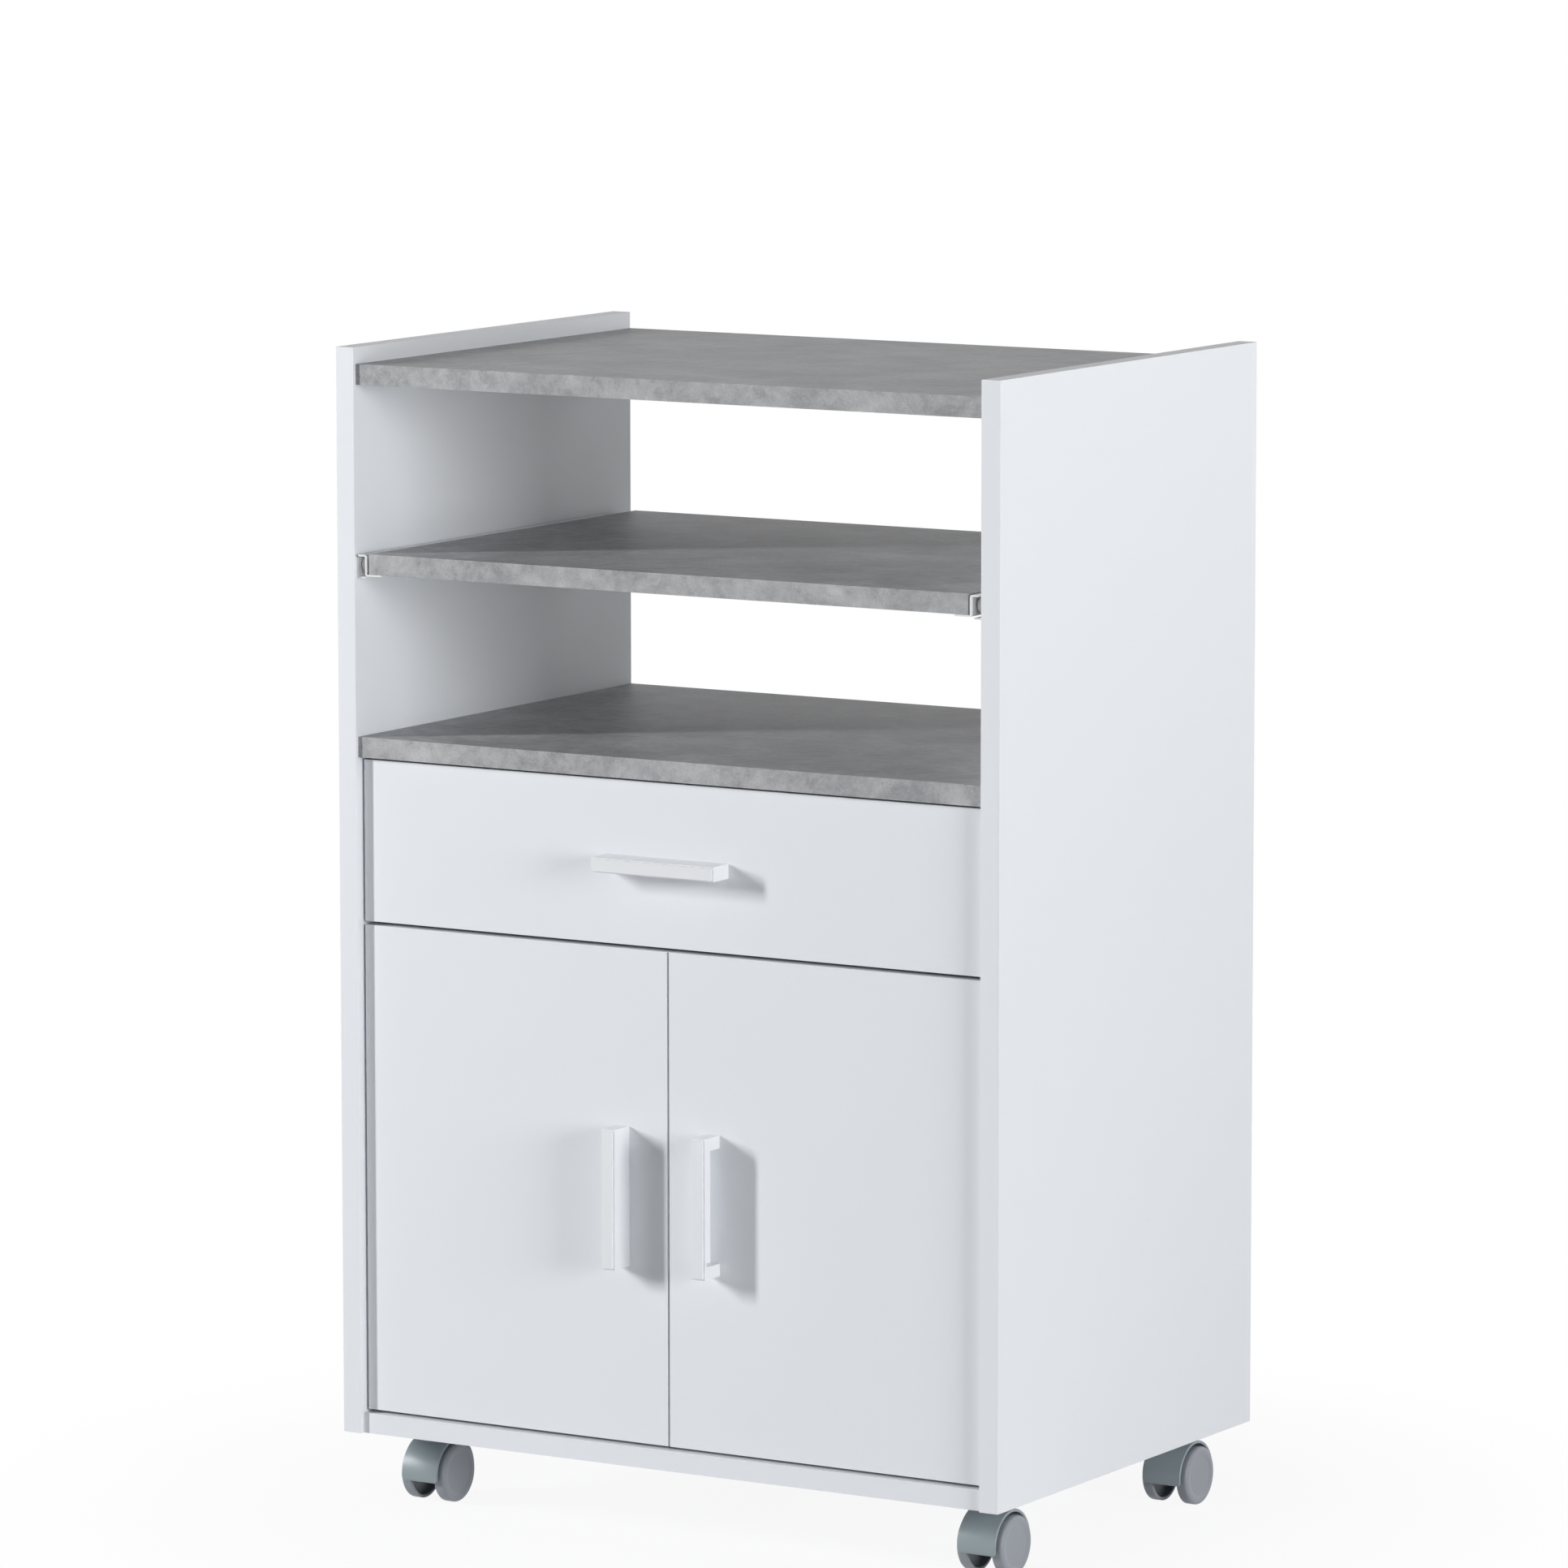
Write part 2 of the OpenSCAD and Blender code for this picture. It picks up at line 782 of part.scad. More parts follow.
// Keeps the collar and boss out of the wheels
module hood_wheel_space(axle, s) {
    x0 = s > 0 ? castor_w / 2 - wheel_w - 0.6 : -castor_w / 2 - 2;
    along_x(axle + [x0, 0, 0], wheel_r + 1.5, wheel_w + 2.6);
}

module castor_axle() {
    color(steel) along_x([-castor_w / 2 + 4, -trail, wheel_r], axle_r, castor_w - 8);
}

// Hollow wheel with a rounded tread edge and a slightly sunk face; its outer face is towards +X
module wheel() {
    outer = castor_w / 2;
    edge = 2;
    color(castor_grey) translate([0, -trail, wheel_r]) rotate([0, 90, 0]) difference() {
        union() {
            translate([0, 0, outer - wheel_w]) cylinder(r = wheel_r, h = wheel_w - edge);
            translate([0, 0, outer - edge - 0.01]) cylinder(r = wheel_r - edge, h = edge + 0.01);
            translate([0, 0, outer - edge]) rotate_extrude() translate([wheel_r - edge, 0])
                intersection() {
                    circle(r = edge);
                    square(edge + 1);
                }
            translate([0, 0, web_w / 2 + 0.4]) cylinder(r = hub_r, h = outer - web_w / 2 - 2);
        }
        difference() {
            translate([0, 0, outer - wheel_w - 1]) cylinder(r = wheel_r - 2.5, h = wheel_w - 2);
            cylinder(r = hub_r, h = outer);
        }
        translate([0, 0, outer - 0.7]) cylinder(r = 17, h = 2);
        cylinder(r = axle_r + fit, h = outer - 3.8);
    }
}

module castor_wheel(s) {
    if (s > 0) wheel();
    else mirror([1, 0, 0]) wheel();
}

module front_left_castor_hood() {
    castor_place(-1, -1) castor_hood();
}

module front_left_castor_axle() {
    castor_place(-1, -1) castor_axle();
}

module front_left_outer_wheel() {
    castor_place(-1, -1) castor_wheel(-1);
}

module front_left_inner_wheel() {
    castor_place(-1, -1) castor_wheel(1);
}

module front_right_castor_hood() {
    castor_place(1, -1) castor_hood();
}

module front_right_castor_axle() {
    castor_place(1, -1) castor_axle();
}

module front_right_outer_wheel() {
    castor_place(1, -1) castor_wheel(1);
}

module front_right_inner_wheel() {
    castor_place(1, -1) castor_wheel(-1);
}

module rear_left_castor_hood() {
    castor_place(-1, 1) castor_hood();
}

module rear_left_castor_axle() {
    castor_place(-1, 1) castor_axle();
}

module rear_left_outer_wheel() {
    castor_place(-1, 1) castor_wheel(-1);
}

module rear_left_inner_wheel() {
    castor_place(-1, 1) castor_wheel(1);
}

module rear_right_castor_hood() {
    castor_place(1, 1) castor_hood();
}

module rear_right_castor_axle() {
    castor_place(1, 1) castor_axle();
}

module rear_right_outer_wheel() {
    castor_place(1, 1) castor_wheel(1);
}

module rear_right_inner_wheel() {
    castor_place(1, 1) castor_wheel(-1);
}

left_side_panel();
right_side_panel();
top_board();
fixed_shelf();
bottom_panel();
back_panel();
cam_locks();
cam_bolts();
dowels();
shelf_rails();
drawer_rails();
rail_screws();
shelf_front_rollers();
drawer_front_rollers();
hinge_plates();
hinge_arms();
hinge_plate_screws();
castor_plates();
castor_plate_screws();
pull_out_board();
left_shelf_runner();
right_shelf_runner();
shelf_runner_screws();
shelf_rear_rollers();
drawer_front();
left_drawer_side();
right_drawer_side();
drawer_back();
drawer_bottom();
left_drawer_runner();
right_drawer_runner();
drawer_runner_screws();
drawer_dowels();
drawer_rear_rollers();
drawer_handle();
drawer_handle_screws();
left_door();
left_hinge_cups();
left_door_handle();
left_door_handle_screws();
right_door();
right_hinge_cups();
right_door_handle();
right_door_handle_screws();
front_left_castor_hood();
front_left_castor_axle();
front_left_outer_wheel();
front_left_inner_wheel();
front_right_castor_hood();
front_right_castor_axle();
front_right_outer_wheel();
front_right_inner_wheel();
rear_left_castor_hood();
rear_left_castor_axle();
rear_left_outer_wheel();
rear_left_inner_wheel();
rear_right_castor_hood();
rear_right_castor_axle();
rear_right_outer_wheel();
rear_right_inner_wheel();
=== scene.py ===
"""A wheeled kitchen cart in white and concrete-look board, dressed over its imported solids.

The cart has two open bays with a pull-out shelf between them, a drawer, a cupboard with two doors and four
castors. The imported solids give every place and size. The boards, fronts and handles get softened edges, the
rolled, turned and moulded parts are surfaces worked out with numpy, and each part gets its finish.
Lengths are in metres, the floor is z = 0 and the front faces -Y.
"""

import json
import logging
import math
from abc import ABC, abstractmethod
from collections.abc import Callable, Mapping, Sequence
from dataclasses import dataclass
from enum import Enum
from typing import Any

import bmesh
import bpy
import numpy as np
from mathutils import Matrix, Vector

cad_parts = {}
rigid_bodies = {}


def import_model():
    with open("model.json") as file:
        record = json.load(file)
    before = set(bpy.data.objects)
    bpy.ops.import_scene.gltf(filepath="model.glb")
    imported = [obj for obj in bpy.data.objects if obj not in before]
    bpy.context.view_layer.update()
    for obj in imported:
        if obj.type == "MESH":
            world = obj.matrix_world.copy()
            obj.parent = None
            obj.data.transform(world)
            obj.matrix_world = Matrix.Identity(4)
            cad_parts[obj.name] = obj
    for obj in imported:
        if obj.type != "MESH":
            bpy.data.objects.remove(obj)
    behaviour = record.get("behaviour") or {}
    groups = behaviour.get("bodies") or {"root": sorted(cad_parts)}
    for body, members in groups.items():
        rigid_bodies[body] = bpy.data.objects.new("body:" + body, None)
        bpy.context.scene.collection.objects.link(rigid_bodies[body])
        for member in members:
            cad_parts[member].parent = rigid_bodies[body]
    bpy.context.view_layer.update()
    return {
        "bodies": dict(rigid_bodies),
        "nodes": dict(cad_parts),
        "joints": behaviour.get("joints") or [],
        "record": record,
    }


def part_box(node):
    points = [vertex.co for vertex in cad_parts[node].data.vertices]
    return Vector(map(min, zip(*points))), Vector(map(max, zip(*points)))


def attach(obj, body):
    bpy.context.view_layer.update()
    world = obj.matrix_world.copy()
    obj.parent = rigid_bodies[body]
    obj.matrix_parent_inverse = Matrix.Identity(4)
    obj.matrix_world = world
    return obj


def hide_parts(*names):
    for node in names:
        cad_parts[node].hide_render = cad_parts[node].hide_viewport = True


LOG = logging.getLogger("kitchen_cart")
MM = 0.001
MERGE = 2e-6
CREASE = math.radians(32)
FLAT = math.radians(0.5)
STRAIGHT = 0.999999
TINY = 1e-9
SAME_POINT = 1e-7
WHITE = (1.0, 1.0, 1.0, 1.0)

Colour = tuple[float, float, float, float]
Triple = tuple[float, float, float]


class Side(Enum):
    """Left or right of the cart, with the sign of its X."""

    LEFT = -1
    RIGHT = 1

    @property
    def word(self) -> str:
        """The side's name, as the solids use it."""
        return self.name.lower()


class End(Enum):
    """Front or rear of the cart."""

    FRONT = "front"
    REAR = "rear"


class Wheel(Enum):
    """One of a castor's two wheels, by its place on the cart."""

    OUTER = "outer"
    INNER = "inner"


# --- Surfaces ---


def rounded_path(corners: Sequence[Triple], steps: int = 6, closed: bool = True) -> np.ndarray:
    """Rounds the corners of a flat path.

    With a and b the unit directions from a corner P to its neighbours, h half the angle between them and r
    the corner's radius, the arc's centre is C = P + (a + b) / |a + b| * r / sin(h). The arc runs from
    P + a * r / tan(h) to P + b * r / tan(h) by turning evenly round C.

    Args:
        corners: Two coordinates and a radius for each corner, in metres.
        steps: Number of chords in each arc.
        closed: Whether the last corner joins the first.

    Returns:
        The path's points, one row of two coordinates each.
    """
    table = np.array(corners, float)
    points = table[:, :2]
    radius = table[:, 2:3].copy()
    if not closed:
        radius[[0, -1]] = 0.0
    before = np.roll(points, 1, axis=0) - points
    after = np.roll(points, -1, axis=0) - points
    before /= np.linalg.norm(before, axis=1, keepdims=True)
    after /= np.linalg.norm(after, axis=1, keepdims=True)
    half = np.arccos(np.clip((before * after).sum(1, keepdims=True), -STRAIGHT, STRAIGHT)) / 2
    middle = before + after
    middle /= np.maximum(np.linalg.norm(middle, axis=1, keepdims=True), TINY)
    centre = points + middle * radius / np.sin(half)
    start = points + before * radius / np.tan(half) - centre
    end = points + after * radius / np.tan(half) - centre
    sweep = (math.pi - 2 * half)[:, None]
    share = np.linspace(0, 1, steps + 1)[None, :, None]
    blend = np.sin((1 - share) * sweep) * start[:, None] + np.sin(share * sweep) * end[:, None]
    path = (centre[:, None] + blend / np.sin(sweep)).reshape(-1, 2)
    step = np.linalg.norm(path - np.roll(path, 1, axis=0), axis=1)
    return path[step > SAME_POINT]


def once_round(steps: int) -> np.ndarray:
    """Evenly spaced angles once round, as a column."""
    return np.linspace(0, 2 * math.pi, steps, endpoint=False)[:, None]


@dataclass(frozen=True)
class Shape:
    """A closed surface: points in metres, and faces as tuples of point numbers."""

    points: np.ndarray
    faces: list[list[int]]

    @staticmethod
    def from_grid(points: np.ndarray, ring_rows: bool = False, ring_columns: bool = True) -> "Shape":
        """Joins a grid of points with four-sided faces.

        Args:
            points: Rows by columns by three coordinates.
            ring_rows: Whether the last row joins the first. Otherwise open ends of a tube are capped.
            ring_columns: Whether the last column joins the first.

        Returns:
            The surface, with a flat cap on each open end where the columns form a ring.
        """
        rows, columns = points.shape[:2]
        number = np.arange(rows * columns).reshape(rows, columns)
        grid = np.vstack([number, number[:1]]) if ring_rows else number
        grid = np.hstack([grid, grid[:, :1]]) if ring_columns else grid
        quads = np.stack([grid[:-1, :-1], grid[1:, :-1], grid[1:, 1:], grid[:-1, 1:]], axis=-1)
        faces = quads.reshape(-1, 4).tolist()
        if ring_columns and not ring_rows:
            faces += [number[0, ::-1].tolist(), number[-1].tolist()]
        return Shape(points.reshape(-1, 3), faces)

    def moved(self, offset: Sequence[float]) -> "Shape":
        """The surface moved by an offset."""
        return Shape(self.points + np.array(offset, float), self.faces)

    def scaled(self, factors: Sequence[float]) -> "Shape":
        """The surface scaled along each axis, or mirrored by a factor of -1."""
        return Shape(self.points * np.array(factors, float), self.faces)

    def quarter_turned(self) -> "Shape":
        """The surface turned by a quarter round Z, so that what ran along Y runs along X."""
        return Shape(self.points[:, [1, 0, 2]] * np.array([-1.0, 1.0, 1.0]), self.faces)

    def aimed(self, direction: Sequence[float]) -> "Shape":
        """The surface turned so that its +Z points along a direction."""
        turn = np.array(Vector(direction).to_track_quat("Z", "Y").to_matrix())
        return Shape(self.points @ turn.T, self.faces)


def turned(profile: np.ndarray, steps: int = 72) -> Shape:
    """Turns a profile round the Z axis: (r, z) goes to (r cos a, r sin a, z).

    Args:
        profile: Rows of radius and height, from the axis back to the axis.
        steps: Number of steps round the axis.

    Returns:
        The turned surface.
    """
    angle = once_round(steps)
    radius = profile[None, :, 0]
    height = np.broadcast_to(profile[:, 1], (steps, len(profile)))
    points = np.stack([radius * np.cos(angle), radius * np.sin(angle), height], axis=-1)
    return Shape.from_grid(points, ring_rows=True, ring_columns=False)


def rod(
    radius: float,
    ends: Sequence[float],
    edges: Sequence[float],
    crown: float = 0.0,
    steps: int = 32,
) -> Shape:
    """Turns a round rod along Z.

    Args:
        radius: Radius of the rod.
        ends: Its lowest and highest z.
        edges: Rounding at the lowest and at the highest rim.
        crown: How far the middle of the highest end stands over its rim.
        steps: Number of steps round the axis.

    Returns:
        The rod.
    """
    low, high = ends
    path = [(0.0, low, 0.0), (radius, low, edges[0]), (radius, high, edges[1]), (0.0, high + crown, 0.0)]
    return turned(rounded_path(path, closed=False), steps)


def drawn(outline: np.ndarray, start: float, end: float) -> Shape:
    """Carries an outline in the XZ plane along Y, from one y to another, and caps both ends."""
    along = np.array([start, end])[:, None]
    x = np.broadcast_to(outline[:, 0], (2, len(outline)))
    y = np.broadcast_to(along, (2, len(outline)))
    z = np.broadcast_to(outline[:, 1], (2, len(outline)))
    return Shape.from_grid(np.stack([x, y, z], axis=-1))


def mesh_of(name: str, shapes: Sequence[Shape]) -> bpy.types.Mesh:
    """Makes one mesh of some closed surfaces, with poles merged, faces outwards and arcs smooth.

    Args:
        name: Name of the mesh.
        shapes: Surfaces that belong to one piece.

    Returns:
        The mesh.
    """
    mesh = bpy.data.meshes.new(name)
    whole = bmesh.new()
    for shape in shapes:
        part = bpy.data.meshes.new(name)
        part.from_pydata(shape.points.tolist(), [], shape.faces)
        single = bmesh.new()
        single.from_mesh(part)
        bmesh.ops.remove_doubles(single, verts=single.verts, dist=MERGE)
        bmesh.ops.recalc_face_normals(single, faces=single.faces)
        single.to_mesh(part)
        single.free()
        whole.from_mesh(part)
        bpy.data.meshes.remove(part)
    whole.to_mesh(mesh)
    whole.free()
    mesh.shade_smooth()
    mesh.set_sharp_from_angle(angle=CREASE)
    return mesh


# --- Finishes ---


def srgb(red: float, green: float, blue: float) -> Colour:
    """Linear colour of an sRGB colour given from 0 to 255, by ((c + 0.055) / 1.055) ^ 2.4."""
    linear = (((np.array([red, green, blue]) / 255) + 0.055) / 1.055) ** 2.4
    return (float(linear[0]), float(linear[1]), float(linear[2]), 1.0)


def _operator(operation: str, reflected: bool = False) -> Callable[["Signal", "Operand"], "Signal"]:
    """A method that makes the node of one operation, with its own signal on the right if reflected."""

    def method(self: "Signal", other: "Operand") -> "Signal":
        """Joins this signal with another operand."""
        sides = (other, self) if reflected else (self, other)
        return self.graph.combine(operation, *sides)

    return method


class Signal:
    """A node's output that can be added, multiplied and mixed like a number or a vector."""

    def __init__(self, graph: "Graph", socket: bpy.types.NodeSocket) -> None:
        """Keeps the socket and the graph that it belongs to."""
        self.graph = graph
        self.socket = socket

    __add__ = _operator("ADD")
    __radd__ = _operator("ADD", True)
    __sub__ = _operator("SUBTRACT")
    __rsub__ = _operator("SUBTRACT", True)
    __mul__ = _operator("MULTIPLY")
    __rmul__ = _operator("MULTIPLY", True)

    def band(self, low: float, high: float, start: float = 0.0, end: float = 1.0) -> "Signal":
        """Carries low to high over to start to end with a smooth, clamped step."""
        settings = {"interpolation_type": "SMOOTHSTEP"}
        limits = {"Value": self, "From Min": low, "From Max": high, "To Min": start, "To Max": end}
        return self.graph.node("ShaderNodeMapRange", settings, limits, "Result")


Operand = Signal | float | tuple[float, ...]


class Graph:
    """The node tree of one material or of the world."""

    def __init__(self, tree: bpy.types.NodeTree) -> None:
        """Empties the tree and keeps it."""
        tree.nodes.clear()
        self.tree = tree

    def node(
        self,
        kind: str,
        settings: Mapping[str, Any],
        inputs: Mapping[str | int, Any],
        output: str | int = 0,
    ) -> Signal:
        """Makes a node.

        Args:
            kind: Type of the node.
            settings: Properties, which are set first because some of them change the sockets.
            inputs: Values or signals by the socket's identifier, name or number.
            output: Identifier, name or number of the output.

        Returns:
            The output as a signal, or the first input where a node has no output.
        """
        made = self.tree.nodes.new(kind)
        for key, value in settings.items():
            setattr(made, key, value)
        for key, value in inputs.items():
            self._feed(self._find(made.inputs, key), value)
        socket = self._find(made.outputs, output) if len(made.outputs) else made.inputs[0]
        return Signal(self, socket)

    def _find(self, sockets: Any, key: str | int) -> bpy.types.NodeSocket:
        """The socket with an identifier, a name or a number."""
        if isinstance(key, int):
            return sockets[key]
        exact = [socket for socket in sockets if socket.identifier == key]
        return exact[0] if exact else sockets[key]

    def _feed(self, socket: bpy.types.NodeSocket, value: Any) -> None:
        """Links a signal to a socket, or sets the socket's own value."""
        if isinstance(value, Signal):
            self.tree.links.new(value.socket, socket)
        elif socket.type == "VECTOR" and isinstance(value, (int, float)):
            socket.default_value = (value, value, value)
        elif socket.type == "VECTOR":
            socket.default_value = value[:3]
        else:
            socket.default_value = value

    def combine(self, operation: str, left: Operand, right: Operand) -> Signal:
        """Makes a Math node for two numbers, or a Vector Math node where a side is a vector or a colour."""
        sides = (left, right)
        wide = any(
            isinstance(side, tuple) or (isinstance(side, Signal) and side.socket.type in {"VECTOR", "RGBA"})
            for side in sides
        )
        kind = "ShaderNodeVectorMath" if wide else "ShaderNodeMath"
        return self.node(kind, {"operation": operation}, {0: left, 1: right})

    def place(self) -> Signal:
        """The point on the surface, in metres in the cart's frame."""
        return self.node("ShaderNodeTexCoord", {}, {}, "Object")

    def noise(self, place: Signal, per_metre: float, detail: float = 2.0, rough: float = 0.5) -> Signal:
        """Cloudy noise from 0 to 1 with a number of cells per metre."""
        inputs = {"Vector": place, "Scale": per_metre, "Detail": detail, "Roughness": rough}
        return self.node("ShaderNodeTexNoise", {}, inputs, "Fac")

    def cells(self, place: Signal, per_metre: float) -> Signal:
        """Distance to the nearest point of a scattered set, in cells."""
        return self.node("ShaderNodeTexVoronoi", {}, {"Vector": place, "Scale": per_metre}, "Distance")

    def stretched(self, place: Signal, factors: Triple) -> Signal:
        """The place scaled along each axis, for grain and brushing."""
        return self.node("ShaderNodeMapping", {}, {"Vector": place, "Scale": factors}, "Vector")

    def mixed(self, share: Signal, first: Any, second: Any) -> Signal:
        """A colour between two colours."""
        inputs = {"Factor_Float": share, "A_Color": first, "B_Color": second}
        return self.node("ShaderNodeMix", {"data_type": "RGBA"}, inputs, "Result_Color")

    def bump(self, height: Signal, depth: float) -> Signal:
        """A surface normal from a height of 0 to 1 that stands for a depth in metres."""
        return self.node("ShaderNodeBump", {}, {"Height": height, "Distance": depth}, "Normal")


@dataclass(frozen=True)
class Finish(ABC):
    """What a surface is made of and how it was finished."""

    name: str
    slot: str

    @abstractmethod
    def surface(self, graph: Graph) -> Mapping[str, Any]:
        """Values and signals for the Principled shader's sockets."""

    def material(self) -> bpy.types.Material:
        """Builds the material."""
        made = bpy.data.materials.new(self.name)
        made.use_nodes = True
        graph = Graph(made.node_tree)
        shader = graph.node("ShaderNodeBsdfPrincipled", {}, self.surface(graph), "BSDF")
        graph.node("ShaderNodeOutputMaterial", {}, {"Surface": shader})
        return made


@dataclass(frozen=True)
class CoatedBoard(Finish):
    """Particle board with a white melamine coat: a fine pearl grain under a satin sheen."""

    colour: Triple = (237, 240, 244)
    roughness: float = 0.4
    grain_per_metre: float = 1300.0
    grain_depth: float = 0.00003

    def surface(self, graph: Graph) -> Mapping[str, Any]:
        """A faint cloud in tone and gloss, and the pearl grain as bump."""
        place = graph.place()
        cloud = graph.noise(place, 3.0, 3.0)
        grain = graph.noise(place, self.grain_per_metre, 2.0, 0.6)
        tone = 0.982 + cloud * 0.018 + grain * 0.014
        return {
            "Base Color": tone * srgb(*self.colour),
            "Roughness": self.roughness + (cloud - 0.5) * 0.08 + (grain - 0.5) * 0.12,
            "Normal": graph.bump(grain, self.grain_depth),
            "IOR": 1.46,
        }


@dataclass(frozen=True)
class ConcreteBoard(Finish):
    """Board with a printed concrete decor: wide clouds, smaller blotches, flecks and pin holes."""

    dark: Triple = (128, 130, 133)
    light: Triple = (192, 193, 195)
    roughness: float = 0.5
    cloud_per_metre: float = 17.0
    blotch_per_metre: float = 95.0
    fleck_per_metre: float = 620.0

    def surface(self, graph: Graph) -> Mapping[str, Any]:
        """Clouds pulled out of shape by a warp, with the finer layers laid over them."""
        place = graph.place()
        waves = {"Vector": place, "Scale": 11.0, "Detail": 2.0}
        warp = graph.node("ShaderNodeTexNoise", {}, waves, "Color")
        bent = place + (warp - (0.5, 0.5, 0.5)) * 0.05
        cloud = graph.noise(bent, self.cloud_per_metre, 4.0, 0.55)
        blotch = graph.noise(bent, self.blotch_per_metre, 4.0, 0.65)
        fleck = graph.noise(place, self.fleck_per_metre, 3.0, 0.7)
        pores = graph.cells(bent, 130.0).band(0.05, 0.16)
        tone = 0.5 + (cloud - 0.5) * 0.9 + (blotch - 0.5) * 0.95 + (fleck - 0.5) * 0.55
        colour = graph.mixed(tone.band(0.0, 1.0), srgb(*self.dark), srgb(*self.light))
        return {
            "Base Color": colour * (0.86 + pores * 0.14),
            "Roughness": self.roughness + (blotch - 0.5) * 0.22,
            "Normal": graph.bump(blotch * 0.7 + fleck * 0.3, 0.00006),
            "IOR": 1.46,
        }


@dataclass(frozen=True)
class Painted(Finish):
    """Powder-coated metal: a smooth colour over a fine orange-peel skin."""

    colour: Triple = (238, 240, 243)
    roughness: float = 0.33
    peel_per_metre: float = 700.0
    peel_depth: float = 0.00004

    def surface(self, graph: Graph) -> Mapping[str, Any]:
        """The paint's skin as bump and gloss, and a faint cloud in its tone."""
        place = graph.place()
        cloud = graph.noise(place, 24.0, 2.0)
        peel = graph.noise(place, self.peel_per_metre, 2.0)
        return {
            "Base Color": (0.985 + cloud * 0.02) * srgb(*self.colour),
            "Roughness": self.roughness + (peel - 0.5) * 0.14 + (cloud - 0.5) * 0.06,
            "Normal": graph.bump(peel, self.peel_depth),
            "Coat Weight": 0.15,
            "Coat Roughness": 0.2,
        }


@dataclass(frozen=True)
class Plated(Finish):
    """Zinc-plated steel: brushed along one way, with a cloudy tone."""

    colour: Triple = (196, 199, 202)
    roughness: float = 0.34
    brushing: Triple = (1.0, 12.0, 12.0)

    def surface(self, graph: Graph) -> Mapping[str, Any]:
        """Fine lines from a stretched noise, and wide clouds in tone and gloss."""
        place = graph.place()
        cloud = graph.noise(place, 60.0, 3.0)
        lines = graph.noise(graph.stretched(place, self.brushing), 260.0, 2.0)
        return {
            "Base Color": (0.86 + cloud * 0.16 + (lines - 0.5) * 0.08) * srgb(*self.colour),
            "Metallic": 1.0,
            "Roughness": self.roughness + (lines - 0.5) * 0.2 + (cloud - 0.5) * 0.12,
            "Normal": graph.bump(lines, 0.00002),
        }


@dataclass(frozen=True)
class Moulded(Finish):
    """Moulded plastic: a fine spark-eroded texture and a faint flow cloud."""

    colour: Triple = (150, 158, 162)
    roughness: float = 0.42
    texture_per_metre: float = 1500.0
    texture_depth: float = 0.00002

    def surface(self, graph: Graph) -> Mapping[str, Any]:
        """The mould's texture as bump and gloss, and the cloud in the colour."""
        place = graph.place()
        flow = graph.noise(place, 38.0, 3.0)
        texture = graph.noise(place, self.texture_per_metre, 2.0)
        return {
            "Base Color": (0.95 + flow * 0.07 + (texture - 0.5) * 0.04) * srgb(*self.colour),
            "Roughness": self.roughness + (texture - 0.5) * 0.16 + (flow - 0.5) * 0.08,
            "Normal": graph.bump(texture, self.texture_depth),
        }


@dataclass(frozen=True)
class Fibreboard(Finish):
    """Hardboard: white lacquer on one side, pressed brown fibres with a wire mesh print on the other."""

    bare_level: float = 0.0
    axis: int = 1
    bare_above: bool = True
    lacquer: Triple = (233, 234, 235)
    fibre: Triple = (150, 116, 82)

    def surface(self, graph: Graph) -> Mapping[str, Any]:
        """The lacquer or the fibres, by which side of the sheet's middle a point is on."""
        place = graph.place()
        parts = ("X", "Y", "Z")
        level = graph.node("ShaderNodeSeparateXYZ", {}, {"Vector": place}, parts[self.axis])
        bare = level.band(self.bare_level - 0.0002, self.bare_level + 0.0002)
        share = bare if self.bare_above else 1.0 - bare
        fibres = graph.noise(place, 420.0, 5.0, 0.7)
        cloud = graph.noise(place, 30.0, 3.0)
        mesh = graph.cells(place, 520.0)
        tone = (0.78 + fibres * 0.3 + cloud * 0.14) * srgb(*self.fibre)
        skin = (0.98 + cloud * 0.03) * srgb(*self.lacquer)
        return {
            "Base Color": graph.mixed(share, skin, tone),
            "Roughness": 0.42 + share * 0.36 + (fibres - 0.5) * 0.1,
            "Normal": graph.bump((fibres * 0.6 + mesh * 0.4) * (0.15 + share), 0.00015),
        }


@dataclass(frozen=True)
class Beech(Finish):
    """Turned beech: long grain lines along the dowel with short darker rays."""

    colour: Triple = (206, 170, 122)
    ray: Triple = (160, 116, 72)

    def surface(self, graph: Graph) -> Mapping[str, Any]:
        """Grain from a noise stretched along the dowel, and rays from a second one."""
        place = graph.place()
        grain = graph.noise(graph.stretched(place, (1.0, 14.0, 14.0)), 90.0, 4.0, 0.6)
        rays = graph.noise(graph.stretched(place, (1.0, 5.0, 5.0)), 300.0, 2.0).band(0.6, 0.72)
        share = rays * 0.6 + (grain - 0.5) * 0.5
        return {
            "Base Color": graph.mixed(share, srgb(*self.colour), srgb(*self.ray)),
            "Roughness": 0.55 + (grain - 0.5) * 0.2,
            "Normal": graph.bump(grain, 0.0001),
        }


